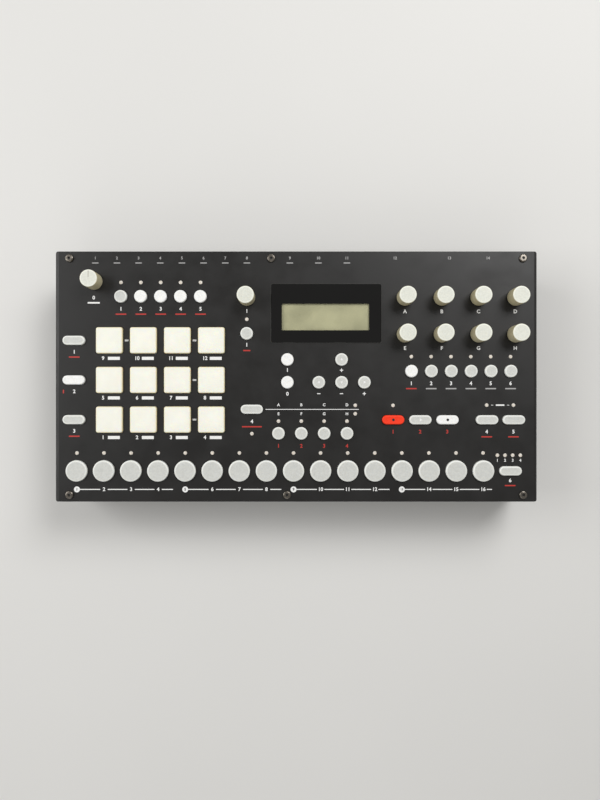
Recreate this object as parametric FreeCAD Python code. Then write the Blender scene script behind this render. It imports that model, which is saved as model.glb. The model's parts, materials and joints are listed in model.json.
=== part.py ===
import FreeCAD, Part
import os

# Desktop drum machine, in millimetres. X runs to the right, Y to the rear, Z up.
# The origin lies on the table, under the middle of the top panel.

# Case
panel_length = 340.0
panel_depth = 176.0
case_height = 45.5
foot_height = 3.5
sheet = 1.5
bend_radius = 3.0
corner_radius = 2.4
side_fold_drop = 10.0
rear_recess = 8.0
front_flange_depth = 7.5
rear_rail_depth = 7.0
seat_gap = 0.3

# Rubber feet
foot_radius = 8.0
foot_edge_round = 1.0
foot_plug_radius = 2.4
foot_plug_height = 3.5
foot_side_inset = 22.0
foot_end_inset = 16.0
plug_clearance = 0.1

# Panel screws
screw_side_inset = 10.5
screw_edge_inset = 4.8
rear_middle_screw_x = -17.6
front_middle_screw_x = -6.5
screw_head_radius = 2.85
screw_head_height = 1.5
screw_head_round = 0.9
screw_shank_radius = 1.45
screw_length = 6.0
screw_clearance = 0.25
thread_clearance = 0.05
hex_key_size = 2.0
hex_key_depth = 0.9

# Control grid: columns follow the step keys, rows run from the step keys to the rear knob
grid_left_margin = 15.7
grid_right_margin = 38.55
grid_front_margin = 21.7
grid_rear_margin = 21.2
grid_rows = 10
step_count = 16

# Control board, hung on studs pressed into the panel
board_drop = 10.0
board_thickness = 1.6
board_edge_gap = 1.7
board_rear_gap = 2.5
stud_radius = 2.5
stud_side_inset = 7.0
stud_rear_inset = 16.0
stud_side_rows = [1.300, 8.362]
stud_rear_columns = [5.475, 11.669]
stud_centre_places = [(5.790, 1.450), (11.354, 1.525), (11.354, 5.733)]

# Keys: cap, retaining flange under the panel, stem in its switch
key_gap = 0.3
key_travel = 1.2
key_edge_bevel = 0.5
flange_reach = 0.5
flange_thickness = 1.2
stem_radius = 1.7
stem_clearance = 0.1
switch_size = 6.0
switch_height = 3.5
switch_floor = 0.5
stem_end_room = 0.2

# Step keys and their lamps
step_lamp_row = 0.939
step_key_radius = 7.4
step_key_proud = 2.2

# Small round keys
small_key_radius = 4.35
small_key_proud = 2.0
mode_key_count = 5
mode_key_columns = 0.735
mode_key_first_column = 1.625
mode_key_row = 9.211
mode_lamp_row = 9.955
page_key_count = 6
page_key_columns = 0.733
page_key_first_column = 12.350
page_key_row = 5.267
page_lamp_row = 6.033
track_key_count = 4
track_key_columns = 0.843
track_key_first_column = 7.444
track_key_row = 1.983
track_lamp_row = 2.622
arrow_columns = 0.840
arrow_rows = 1.202
arrow_centre_column = 9.772
arrow_centre_row = 4.677
answer_key_column = 7.774
tempo_key_column = 6.273
tempo_key_row = 7.258
tempo_lamp_row = 8.009

# Pill shaped keys
pill_spacing = 3.55
pill_width = 6.3
pill_proud = 2.0
bank_pill_column = 6.462
bank_pill_row = 3.253
bank_lamp_row = 1.961
side_pill_column = -0.100
transport_count = 3
transport_first_column = 11.675
transport_row = 2.697
record_lamp_row = 3.456
song_pill_count = 2
song_pill_columns = 0.987
song_pill_first_column = 15.134
song_lamp_row = 3.471
scale_pill_column = 16.000
scale_lamp_count = 4
scale_lamp_columns = 0.283
scale_lamp_first_column = 15.528
scale_lamp_row = 0.819
bank_row_lamp_column = 10.278
bank_row_lamp_rows = [3.460, 3.013]

# Drum pads on their pressure sensors
pad_count_across = 4
pad_count_deep = 3
pad_columns = 1.254
pad_rows = 2.092
pad_first_column = 1.207
pad_first_row = 6.890
pad_length = 18.7
pad_width = 18.4
pad_corner = 1.5
pad_edge_round = 0.7
pad_proud = 1.8
pad_gap = 0.3
pad_skirt_reach = 0.8
pad_skirt_thickness = 2.0
pad_boss_size = 12.0
pad_travel = 0.8
pad_end_room = 0.1
sensor_size = 14.0
sensor_height = 2.6

# Lamps: light pipes that stand on the board
lamp_radius = 1.3
lamp_proud = 0.3
lamp_clearance = 0.1

# Knobs and encoders
knob_radius = 5.95
knob_height = 14.0
knob_lift = 0.8
knob_edge_round = 0.6
knob_cavity_radius = 4.4
knob_cavity_depth = 2.2
knob_roof = 4.0
index_width = 0.9
index_depth = 0.4
shaft_radius = 3.0
shaft_grip = 0.02
shaft_running_clearance = 0.05
shaft_end_room = 0.3
encoder_length = 11.7
encoder_width = 12.0
encoder_height = 6.5
encoder_floor = 0.7
bushing_radius = 3.5
bushing_proud = 2.0
bushing_clearance = 0.3
data_knob_count_across = 4
data_knob_columns = 1.358
data_knob_first_column = 12.115
data_knob_rows = [9.159, 7.220]
level_knob_column = 6.276
volume_knob_column = 0.646

# Display
window_length = 77.5
window_width = 41.2
window_thickness = 0.8
window_corner = 1.2
window_column = 9.205
window_row = 8.317
lcd_length = 61.3
lcd_width = 18.7
lcd_column = 9.178
lcd_row = 8.125
lcd_margin = 1.5
lcd_glass_height = 1.0
module_length = 70.0
module_width = 30.0
module_height = 6.7
module_leg_radius = 1.5
module_leg_inset = 3.0

# Main board on posts of the case floor
main_post_height = 4.5
main_post_radius = 3.0
main_board_side_gap = 8.7
main_board_front_y = -20.0
main_board_rear_gap = 1.5
main_post_inset = 8.0

# Rear sockets: jacks start from the left end, the others stand between the last jack and the switch
rear_left_margin = 28.6
rear_right_margin = 35.1
rear_columns = 10
din_first_column = 1.782
usb_column = 6.144
inlet_column = 8.396

# Quarter inch audio jacks
jack_count = 8
jack_pitch = 15.24
jack_body_width = 14.6
jack_body_height = 16.0
jack_body_depth = 24.0
jack_axis_height = 9.0
jack_bore_radius = 3.25
jack_bore_depth = 22.0
jack_bushing_radius = 4.7
jack_bushing_proud = 3.0
jack_hole_clearance = 0.2
nut_size = 12.0
nut_thickness = 2.2
nut_clearance = 0.05

# Five pin sockets
din_count = 3
din_pitch = 20.05
din_body_width = 18.5
din_body_height = 20.0
din_body_depth = 18.0
din_axis_height = 10.0
din_collar_radius = 7.9
din_collar_proud = 0.5
din_bore_radius = 6.75
din_bore_depth = 8.0
din_hole_clearance = 0.2

# Square data socket
usb_shell_width = 12.0
usb_shell_height = 11.0
usb_shell_depth = 16.0
usb_proud = 0.5
usb_opening_width = 8.5
usb_opening_height = 7.8
usb_opening_depth = 10.0
usb_tongue_width = 5.6
usb_tongue_height = 3.2
usb_tongue_length = 5.4
usb_hole_clearance = 0.2

# Power inlet
inlet_body_width = 10.0
inlet_body_height = 11.0
inlet_body_depth = 14.0
inlet_axis_height = 6.0
inlet_collar_radius = 4.6
inlet_collar_proud = 0.8
inlet_bore_radius = 3.1
inlet_bore_depth = 10.0
inlet_hole_clearance = 0.2

# Power switch
switch_board_gap = 0.4
switch_body_width = 13.0
switch_body_height = 19.0
switch_body_depth = 18.0
switch_frame_reach = 1.2
switch_frame_thickness = 1.8
switch_hole_clearance = 0.1
rocker_width = 10.8
rocker_swing_radius = 8.6
rocker_gap = 0.3
rocker_rise = 4.3
rocker_root = 2.5
rocker_pivot_inset = 0.8
rocker_half_angle = 9.0
rocker_pin_radius = 1.0
rocker_pin_length = 0.7
rocker_pin_clearance = 0.06
rocker_well_depth = 9.0
terminal_width = 6.3
terminal_thickness = 0.8
terminal_length = 6.0
terminal_spacing = 9.0

# Heights and planes that follow
half_length = panel_length / 2
half_depth = panel_depth / 2
case_bottom = foot_height
panel_top = case_bottom + case_height
panel_under = panel_top - sheet
board_top = panel_under - board_drop
board_under = board_top - board_thickness
floor_top = case_bottom + sheet
main_board_under = floor_top + main_post_height
main_board_top = main_board_under + board_thickness
tray_half_length = half_length - sheet - seat_gap
tray_inner_half_length = tray_half_length - sheet
front_inner = -half_depth + sheet
rear_face = half_depth - rear_recess
rear_inner = rear_face - sheet
flange_top = panel_under - seat_gap
flange_bottom = flange_top - flange_thickness
switch_top = board_top + switch_height
stem_bottom = board_top + switch_floor + stem_end_room + key_travel
sensor_top = board_top + sensor_height
knob_bottom = panel_top + knob_lift
knob_top = panel_top + knob_height
cavity_roof = knob_bottom + knob_cavity_depth
shaft_top = knob_top - knob_roof
encoder_top = board_top + encoder_height
bushing_top = panel_top + bushing_proud
encoder_bore_bottom = board_top + encoder_floor
shaft_bottom = encoder_bore_bottom + shaft_end_room
jack_axis_z = main_board_top + jack_axis_height
jack_face = rear_face + jack_bushing_proud
din_axis_z = main_board_top + din_axis_height
din_face = rear_face + din_collar_proud
usb_axis_z = main_board_top + usb_shell_height / 2
usb_face = rear_face + usb_proud
switch_z = main_board_top + switch_board_gap + switch_body_height / 2
inlet_axis_z = main_board_top + inlet_axis_height
inlet_face = rear_face + inlet_collar_proud
switch_face = rear_face + switch_frame_thickness
pivot_y = switch_face - switch_frame_thickness - rocker_pivot_inset
main_board_half_length = tray_inner_half_length - main_board_side_gap
main_board_rear = rear_inner - main_board_rear_gap


# Places of the controls
step_first_x = -half_length + grid_left_margin
step_row_y = -half_depth + grid_front_margin
step_pitch = (panel_length - grid_left_margin - grid_right_margin) / (step_count - 1)
row_pitch = (panel_depth - grid_front_margin - grid_rear_margin) / grid_rows
pill_length = step_pitch - pill_spacing


def place(column, line):
    return (step_first_x + column * step_pitch, step_row_y + line * row_pitch)


def places(first_column, columns, count, line):
    return [place(first_column + columns * index, line) for index in range(count)]


step_points = places(0, 1, step_count, 0)
mode_points = places(mode_key_first_column, mode_key_columns, mode_key_count, mode_key_row)
page_points = places(page_key_first_column, page_key_columns, page_key_count, page_key_row)
track_points = places(track_key_first_column, track_key_columns, track_key_count, track_key_row)
upper_row = arrow_centre_row + arrow_rows
arrow_points = places(arrow_centre_column - arrow_columns, arrow_columns, 3, arrow_centre_row)
arrow_points.append(place(arrow_centre_column, upper_row))
answer_points = [place(answer_key_column, upper_row), place(answer_key_column, arrow_centre_row)]
tempo_point = place(tempo_key_column, tempo_key_row)
edit_points = arrow_points + answer_points + [tempo_point]
pad_lines = [pad_first_row - pad_rows * index for index in range(pad_count_deep)]
pad_points = [point for line in pad_lines
              for point in places(pad_first_column, pad_columns, pad_count_across, line)]
side_pill_points = [place(side_pill_column, line) for line in pad_lines]
transport_points = places(transport_first_column, 1, transport_count, transport_row)
song_points = places(song_pill_first_column, song_pill_columns, song_pill_count, transport_row)
left_pill_points = side_pill_points + [place(bank_pill_column, bank_pill_row)]
right_pill_points = transport_points + song_points + [place(scale_pill_column, 0)]
small_key_points = mode_points + page_points + track_points + edit_points
pill_points = left_pill_points + right_pill_points
data_knob_points = []
for line in data_knob_rows:
    data_knob_points += places(data_knob_first_column, data_knob_columns, data_knob_count_across, line)
volume_point = place(volume_knob_column, grid_rows)
level_point = place(level_knob_column, data_knob_rows[0])
knob_points = data_knob_points + [volume_point, level_point]
lamp_points = places(0, 1, step_count, step_lamp_row)
lamp_points += places(mode_key_first_column, mode_key_columns, mode_key_count, mode_lamp_row)
lamp_points += places(page_key_first_column, page_key_columns, page_key_count, page_lamp_row)
lamp_points += places(track_key_first_column, track_key_columns, track_key_count, track_lamp_row)
lamp_points += places(scale_lamp_first_column, scale_lamp_columns, scale_lamp_count, scale_lamp_row)
lamp_points += places(song_pill_first_column, song_pill_columns, song_pill_count, song_lamp_row)
lamp_points += [place(bank_row_lamp_column, line) for line in bank_row_lamp_rows]
lamp_points.append(place(tempo_key_column, tempo_lamp_row))
lamp_points.append(place(bank_pill_column, bank_lamp_row))
lamp_points.append(place(transport_first_column, record_lamp_row))
window_x, window_y = place(window_column, window_row)
lcd_x, lcd_y = place(lcd_column, lcd_row)
screw_x = half_length - screw_side_inset
screw_y = half_depth - screw_edge_inset
rear_screw_points = [(-screw_x, screw_y), (rear_middle_screw_x, screw_y), (screw_x, screw_y)]
front_screw_points = [(-screw_x, -screw_y), (front_middle_screw_x, -screw_y), (screw_x, -screw_y)]
screw_points = rear_screw_points + front_screw_points
foot_x = half_length - foot_side_inset
foot_points = [(side * foot_x, y) for side in (-1, 1)
               for y in (-half_depth + foot_end_inset, rear_face - foot_end_inset)]
stud_x = half_length - stud_side_inset
stud_rear_y = half_depth - stud_rear_inset
stud_points = [(side * stud_x, place(0, line)[1]) for side in (-1, 1) for line in stud_side_rows]
stud_points += [(place(column, 0)[0], stud_rear_y) for column in stud_rear_columns]
stud_points += [place(column, line) for column, line in stud_centre_places]
jack_first_x = -half_length + rear_left_margin
jack_xs = [jack_first_x + jack_pitch * index for index in range(jack_count)]
switch_x = half_length - rear_right_margin
rear_column = (switch_x - jack_xs[-1]) / rear_columns
din_first_x = jack_xs[-1] + din_first_column * rear_column
din_xs = [din_first_x + din_pitch * index for index in range(din_count)]
usb_x = jack_xs[-1] + usb_column * rear_column
inlet_x = jack_xs[-1] + inlet_column * rear_column
main_post_x = main_board_half_length - main_post_inset
main_post_ys = [main_board_front_y + main_post_inset, rear_inner - jack_body_depth - main_post_inset]
main_post_points = [(side * main_post_x, y) for side in (-1, 0, 1) for y in main_post_ys]


# Basic solids
def block(x_low, x_high, y_low, y_high, z_low, z_high):
    corner = FreeCAD.Vector(x_low, y_low, z_low)
    return Part.makeBox(x_high - x_low, y_high - y_low, z_high - z_low, corner)


def centred_block(x, y, length, width, z_low, z_high):
    return block(x - length / 2, x + length / 2, y - width / 2, y + width / 2, z_low, z_high)


def post(x, y, radius, z_low, z_high):
    return Part.makeCylinder(radius, z_high - z_low, FreeCAD.Vector(x, y, z_low))


def rear_post(x, z, radius, y_low, y_high):
    return Part.makeCylinder(radius, y_high - y_low, FreeCAD.Vector(x, y_low, z), FreeCAD.Vector(0, 1, 0))


def upright_edges(solid):
    box = solid.BoundBox
    tall = box.ZLength / 2
    return [edge for edge in solid.Edges if edge.BoundBox.ZLength > tall]


def rounded_block(x, y, length, width, radius, z_low, z_high):
    plain = centred_block(x, y, length, width, z_low, z_high)
    return plain.makeFillet(radius, upright_edges(plain))


def pill_block(x, y, length, width, z_low, z_high):
    end = width / 2
    reach = length / 2 - end
    left = FreeCAD.Vector(x - reach, y, z_low)
    right = FreeCAD.Vector(x + reach, y, z_low)
    up = FreeCAD.Vector(0, end, 0)
    out = FreeCAD.Vector(end, 0, 0)
    edges = [
        Part.LineSegment(left - up, right - up).toShape(),
        Part.Arc(right - up, right + out, right + up).toShape(),
        Part.LineSegment(right + up, left + up).toShape(),
        Part.Arc(left + up, left - out, left - up).toShape(),
    ]
    return Part.Face(Part.Wire(edges)).extrude(FreeCAD.Vector(0, 0, z_high - z_low))


def hexagon_block(centre, across_flats, height, direction):
    sides = 6
    radius = across_flats / 3 ** 0.5
    corners = Part.makeCircle(radius, centre, direction).discretize(sides + 1)
    return Part.Face(Part.makePolygon(corners)).extrude(direction * height)


def join(pieces):
    return pieces[0].fuse(pieces[1:]).removeSplitter()


def edges_at_height(solid, height):
    close = 0.001
    return [edge for edge in solid.Edges if all(abs(vertex.Z - height) < close for vertex in edge.Vertexes)]


def save(node, solids):
    shape = solids[0] if len(solids) == 1 else Part.makeCompound(solids)
    shape.exportStep("parts/" + node + ".step")


# Top panel: a sheet folded down along both sides, with pressed studs
def folded_sheet():
    inner_radius = bend_radius - sheet
    low = panel_top - side_fold_drop

    def side_outline(face_x, level, radius):
        turn = radius * 0.5 ** 0.5
        centre_x = face_x - radius
        centre_z = level - radius
        return (FreeCAD.Vector(face_x, -half_depth, low),
                FreeCAD.Vector(face_x, -half_depth, centre_z),
                FreeCAD.Vector(centre_x + turn, -half_depth, centre_z + turn),
                FreeCAD.Vector(centre_x, -half_depth, level))

    def mirrored(point):
        return FreeCAD.Vector(-point.x, point.y, point.z)

    edges = []
    outer = side_outline(half_length, panel_top, bend_radius)
    inner = side_outline(half_length - sheet, panel_under, inner_radius)
    for foot, start, middle, end in (outer, inner):
        edges.append(Part.LineSegment(foot, start).toShape())
        edges.append(Part.Arc(start, middle, end).toShape())
        edges.append(Part.LineSegment(mirrored(foot), mirrored(start)).toShape())
        edges.append(Part.Arc(mirrored(start), mirrored(middle), mirrored(end)).toShape())
        edges.append(Part.LineSegment(end, mirrored(end)).toShape())
    edges.append(Part.LineSegment(outer[0], inner[0]).toShape())
    edges.append(Part.LineSegment(mirrored(outer[0]), mirrored(inner[0])).toShape())
    section = Part.Face(Part.Wire(Part.__sortEdges__(edges)))
    folded = section.extrude(FreeCAD.Vector(0, panel_depth, 0))
    outline = rounded_block(0, 0, panel_length, panel_depth, corner_radius, low, panel_top)
    return folded.common(outline)


def panel_cutters():
    low = panel_under - sheet
    high = panel_top + sheet
    cutters = [post(x, y, step_key_radius + key_gap, low, high) for x, y in step_points]
    cutters += [post(x, y, small_key_radius + key_gap, low, high) for x, y in small_key_points]
    cutters += [pill_block(x, y, pill_length + 2 * key_gap, pill_width + 2 * key_gap, low, high)
                for x, y in pill_points]
    cutters += [rounded_block(x, y, pad_length + 2 * pad_gap, pad_width + 2 * pad_gap,
                              pad_corner + pad_gap, low, high) for x, y in pad_points]
    cutters += [post(x, y, bushing_radius + bushing_clearance, low, high) for x, y in knob_points]
    cutters += [post(x, y, lamp_radius + lamp_clearance, low, high) for x, y in lamp_points]
    cutters += [post(x, y, screw_shank_radius + screw_clearance, low, high) for x, y in screw_points]
    cutters.append(centred_block(lcd_x, lcd_y, lcd_length + 2 * lcd_margin,
                                 lcd_width + 2 * lcd_margin, low, high))
    return cutters


def top_panel():
    studs = [post(x, y, stud_radius, board_top, panel_under) for x, y in stud_points]
    return join([folded_sheet().cut(panel_cutters())] + studs)


# Case: bottom with its front and side walls, rear panel with its screw rail
def bend_reliefs():
    clear_x = half_length - bend_radius - seat_gap
    clear_z = panel_under - (bend_radius - sheet) - seat_gap
    return [block(min(side * clear_x, side * half_length), max(side * clear_x, side * half_length),
                  -half_depth, half_depth, clear_z, panel_top) for side in (-1, 1)]


def thread_holes(points):
    low = panel_under - 2 * sheet
    return [post(x, y, screw_shank_radius + thread_clearance, low, panel_top) for x, y in points]


def bottom_case():
    shell = block(-tray_half_length, tray_half_length, -half_depth, rear_inner, case_bottom, panel_under)
    hollow = block(-tray_inner_half_length, tray_inner_half_length, front_inner, rear_face,
                   floor_top, panel_under)
    flange = block(-tray_inner_half_length, tray_inner_half_length,
                   front_inner, front_inner + front_flange_depth, panel_under - sheet, panel_under)
    posts = [post(x, y, main_post_radius, floor_top, main_board_under) for x, y in main_post_points]
    body = join([shell.cut(hollow), flange] + posts)
    foot_holes = [post(x, y, foot_plug_radius + plug_clearance, 0, floor_top) for x, y in foot_points]
    return body.cut(bend_reliefs() + foot_holes + thread_holes(front_screw_points))


def rear_panel_cutters():
    low = rear_inner - sheet
    high = rear_face + sheet
    jack_hole_radius = jack_bushing_radius + jack_hole_clearance
    cutters = [rear_post(x, jack_axis_z, jack_hole_radius, low, high) for x in jack_xs]
    cutters += [rear_post(x, din_axis_z, din_collar_radius + din_hole_clearance, low, high) for x in din_xs]
    cutters.append(rear_post(inlet_x, inlet_axis_z, inlet_collar_radius + inlet_hole_clearance, low, high))
    usb_side = usb_shell_width / 2 + usb_hole_clearance
    usb_rise = usb_shell_height / 2 + usb_hole_clearance
    cutters.append(block(usb_x - usb_side, usb_x + usb_side, low, high,
                         usb_axis_z - usb_rise, usb_axis_z + usb_rise))
    switch_side = switch_body_width / 2 + switch_hole_clearance
    switch_rise = switch_body_height / 2 + switch_hole_clearance
    cutters.append(block(switch_x - switch_side, switch_x + switch_side, low, high,
                         switch_z - switch_rise, switch_z + switch_rise))
    return cutters


def rear_panel():
    plate = block(-tray_half_length, tray_half_length, rear_inner, rear_face, case_bottom, panel_under)
    return plate.cut(bend_reliefs() + rear_panel_cutters())


def rear_screw_rail():
    reach = half_length - bend_radius - seat_gap
    rail = block(-reach, reach, rear_face, rear_face + rear_rail_depth, panel_under - sheet, panel_under)
    return rail.cut(thread_holes(rear_screw_points))


def rubber_foot(x, y):
    pad = post(x, y, foot_radius, 0, case_bottom)
    pad = pad.makeFillet(foot_edge_round, edges_at_height(pad, 0))
    plug = post(x, y, foot_plug_radius, case_bottom, case_bottom + foot_plug_height)
    return join([pad, plug])


def panel_screw(x, y):
    head = post(x, y, screw_head_radius, panel_top, panel_top + screw_head_height)
    head = head.makeFillet(screw_head_round, edges_at_height(head, panel_top + screw_head_height))
    shank = post(x, y, screw_shank_radius, panel_top - screw_length, panel_top)
    socket_low = FreeCAD.Vector(x, y, panel_top + screw_head_height - hex_key_depth)
    socket = hexagon_block(socket_low, hex_key_size, 2 * hex_key_depth, FreeCAD.Vector(0, 0, 1))
    return join([head, shank]).cut(socket)


def jack_nut(x):
    base = FreeCAD.Vector(x, rear_face, jack_axis_z)
    nut = hexagon_block(base, nut_size, nut_thickness, FreeCAD.Vector(0, 1, 0))
    bore_radius = jack_bushing_radius + nut_clearance
    bore = rear_post(x, jack_axis_z, bore_radius, rear_face, rear_face + nut_thickness)
    return nut.cut(bore)


# Boards and what stands on them
def control_board():
    half = tray_inner_half_length - board_edge_gap
    front = front_inner + board_edge_gap
    rear = rear_inner - board_rear_gap
    return block(-half, half, front, rear, board_under, board_top)


def main_board():
    half = main_board_half_length
    return block(-half, half, main_board_front_y, main_board_rear, main_board_under, main_board_top)


def key_switch(x, y):
    body = centred_block(x, y, switch_size, switch_size, board_top, switch_top)
    bore = post(x, y, stem_radius + stem_clearance, board_top + switch_floor, switch_top)
    return body.cut(bore)


def pad_sensor(x, y):
    return centred_block(x, y, sensor_size, sensor_size, board_top, sensor_top)


def encoder_body(x, y):
    body = centred_block(x, y, encoder_length, encoder_width, board_top, encoder_top)
    bushing = post(x, y, bushing_radius, encoder_top, bushing_top)
    bore = post(x, y, shaft_radius + shaft_running_clearance, encoder_bore_bottom, bushing_top)
    return join([body, bushing]).cut(bore)


def lamp(x, y):
    return post(x, y, lamp_radius, board_top, panel_top + lamp_proud)


def display_window():
    return rounded_block(window_x, window_y, window_length, window_width, window_corner,
                         panel_top, panel_top + window_thickness)


def display_module():
    top = panel_under - seat_gap
    bottom = top - module_height
    body = centred_block(lcd_x, lcd_y, module_length, module_width, bottom, top)
    glass = centred_block(lcd_x, lcd_y, lcd_length + lcd_margin, lcd_width + lcd_margin,
                          top, top + lcd_glass_height)
    leg_x = module_length / 2 - module_leg_inset
    leg_y = module_width / 2 - module_leg_inset
    legs = [post(lcd_x + side * leg_x, lcd_y + end * leg_y, module_leg_radius, board_top, bottom)
            for side in (-1, 1) for end in (-1, 1)]
    return join([body, glass] + legs)


# Moving controls
def finished_key(cap, flange, x, y, top):
    cap = cap.makeChamfer(key_edge_bevel, edges_at_height(cap, top))
    stem = post(x, y, stem_radius, stem_bottom, flange_bottom)
    return join([cap, flange, stem])


def round_key(x, y, radius, proud):
    top = panel_top + proud
    cap = post(x, y, radius, flange_bottom, top)
    flange = post(x, y, radius + key_gap + flange_reach, flange_bottom, flange_top)
    return finished_key(cap, flange, x, y, top)


def pill_key(x, y):
    top = panel_top + pill_proud
    spread = 2 * (key_gap + flange_reach)
    cap = pill_block(x, y, pill_length, pill_width, flange_bottom, top)
    flange = pill_block(x, y, pill_length + spread, pill_width + spread, flange_bottom, flange_top)
    return finished_key(cap, flange, x, y, top)


def drum_pad(x, y):
    top = panel_top + pad_proud
    skirt_top = panel_under - seat_gap
    skirt_bottom = skirt_top - pad_skirt_thickness
    face = rounded_block(x, y, pad_length, pad_width, pad_corner, skirt_bottom, top)
    face = face.makeFillet(pad_edge_round, edges_at_height(face, top))
    spread = 2 * pad_skirt_reach
    skirt = centred_block(x, y, pad_length + spread, pad_width + spread, skirt_bottom, skirt_top)
    boss_bottom = sensor_top + pad_end_room + pad_travel
    boss = centred_block(x, y, pad_boss_size, pad_boss_size, boss_bottom, skirt_bottom)
    return join([face, skirt, boss])


def knob_cap(x, y):
    cap = post(x, y, knob_radius, knob_bottom, knob_top)
    cap = cap.makeFillet(knob_edge_round, edges_at_height(cap, knob_top))
    cavity = post(x, y, knob_cavity_radius, knob_bottom, cavity_roof)
    socket = post(x, y, shaft_radius + shaft_grip, knob_bottom, shaft_top)
    return cap.cut([cavity, socket])


def knob_shaft(x, y):
    return post(x, y, shaft_radius, shaft_bottom, shaft_top)


def plain_knob(x, y):
    return [knob_cap(x, y), knob_shaft(x, y)]


def marked_knob(x, y):
    side = index_width / 2
    index = block(x - side, x + side, y, y + knob_radius, knob_top - index_depth, knob_top)
    return [knob_cap(x, y).cut(index), knob_shaft(x, y)]


# Rear sockets
def audio_jack(x):
    side = jack_body_width / 2
    body = block(x - side, x + side, rear_inner - jack_body_depth, rear_inner,
                 main_board_top, main_board_top + jack_body_height)
    bushing = rear_post(x, jack_axis_z, jack_bushing_radius, rear_inner, jack_face)
    bore = rear_post(x, jack_axis_z, jack_bore_radius, jack_face - jack_bore_depth, jack_face)
    return join([body, bushing]).cut(bore)


def midi_socket(x):
    side = din_body_width / 2
    body = block(x - side, x + side, rear_inner - din_body_depth, rear_inner,
                 main_board_top, main_board_top + din_body_height)
    collar = rear_post(x, din_axis_z, din_collar_radius, rear_inner, din_face)
    bore = rear_post(x, din_axis_z, din_bore_radius, din_face - din_bore_depth, din_face)
    return join([body, collar]).cut(bore)


def usb_socket():
    side = usb_shell_width / 2
    rise = usb_shell_height / 2
    shell = block(usb_x - side, usb_x + side, usb_face - usb_shell_depth, usb_face,
                  usb_axis_z - rise, usb_axis_z + rise)
    mouth_side = usb_opening_width / 2
    mouth_rise = usb_opening_height / 2
    back = usb_face - usb_opening_depth
    mouth = block(usb_x - mouth_side, usb_x + mouth_side, back, usb_face,
                  usb_axis_z - mouth_rise, usb_axis_z + mouth_rise)
    tongue_side = usb_tongue_width / 2
    tongue_rise = usb_tongue_height / 2
    tongue = block(usb_x - tongue_side, usb_x + tongue_side, back, back + usb_tongue_length,
                   usb_axis_z - tongue_rise, usb_axis_z + tongue_rise)
    return join([shell.cut(mouth), tongue])


def power_inlet():
    side = inlet_body_width / 2
    body = block(inlet_x - side, inlet_x + side, rear_inner - inlet_body_depth, rear_inner,
                 main_board_top, main_board_top + inlet_body_height)
    collar = rear_post(inlet_x, inlet_axis_z, inlet_collar_radius, rear_inner, inlet_face)
    bore = rear_post(inlet_x, inlet_axis_z, inlet_bore_radius, inlet_face - inlet_bore_depth, inlet_face)
    return join([body, collar]).cut(bore)


# Power switch
def power_switch_housing():
    side = switch_body_width / 2
    rise = switch_body_height / 2
    back = rear_face - switch_body_depth
    body = block(switch_x - side, switch_x + side, back, rear_face, switch_z - rise, switch_z + rise)
    reach = switch_frame_reach
    frame = block(switch_x - side - reach, switch_x + side + reach, rear_face, switch_face,
                  switch_z - rise - reach, switch_z + rise + reach)
    terminal_zs = [switch_z + end * terminal_spacing / 2 for end in (-1, 1)]
    terminals = [block(switch_x - terminal_width / 2, switch_x + terminal_width / 2,
                       back - terminal_length, back,
                       z - terminal_thickness / 2, z + terminal_thickness / 2) for z in terminal_zs]
    well_side = rocker_width / 2 + rocker_gap
    well_rise = rocker_swing_radius + rocker_gap
    well = block(switch_x - well_side, switch_x + well_side, pivot_y - rocker_well_depth, switch_face,
                 switch_z - well_rise, switch_z + well_rise)
    pin_reach = rocker_width / 2 + rocker_pin_length + rocker_pin_clearance
    pin_end = FreeCAD.Vector(switch_x - pin_reach, pivot_y, switch_z)
    pin_hole_radius = rocker_pin_radius + rocker_pin_clearance
    pin_hole = Part.makeCylinder(pin_hole_radius, 2 * pin_reach, pin_end, FreeCAD.Vector(1, 0, 0))
    return join([body, frame] + terminals).cut([well, pin_hole])


def power_rocker():
    side = rocker_width / 2
    axis = FreeCAD.Vector(1, 0, 0)
    pivot = FreeCAD.Vector(switch_x, pivot_y, switch_z)
    drum = Part.makeCylinder(rocker_swing_radius, rocker_width, pivot - axis * side, axis)
    slab = block(switch_x - side, switch_x + side, pivot_y - rocker_root, pivot_y + rocker_rise,
                 switch_z - rocker_swing_radius, switch_z + rocker_swing_radius)
    pin_reach = side + rocker_pin_length
    pins = Part.makeCylinder(rocker_pin_radius, 2 * pin_reach, pivot - axis * pin_reach, axis)
    rocker = join([drum.common(slab), pins])
    rocker.rotate(pivot, axis, -rocker_half_angle)
    return rocker


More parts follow.
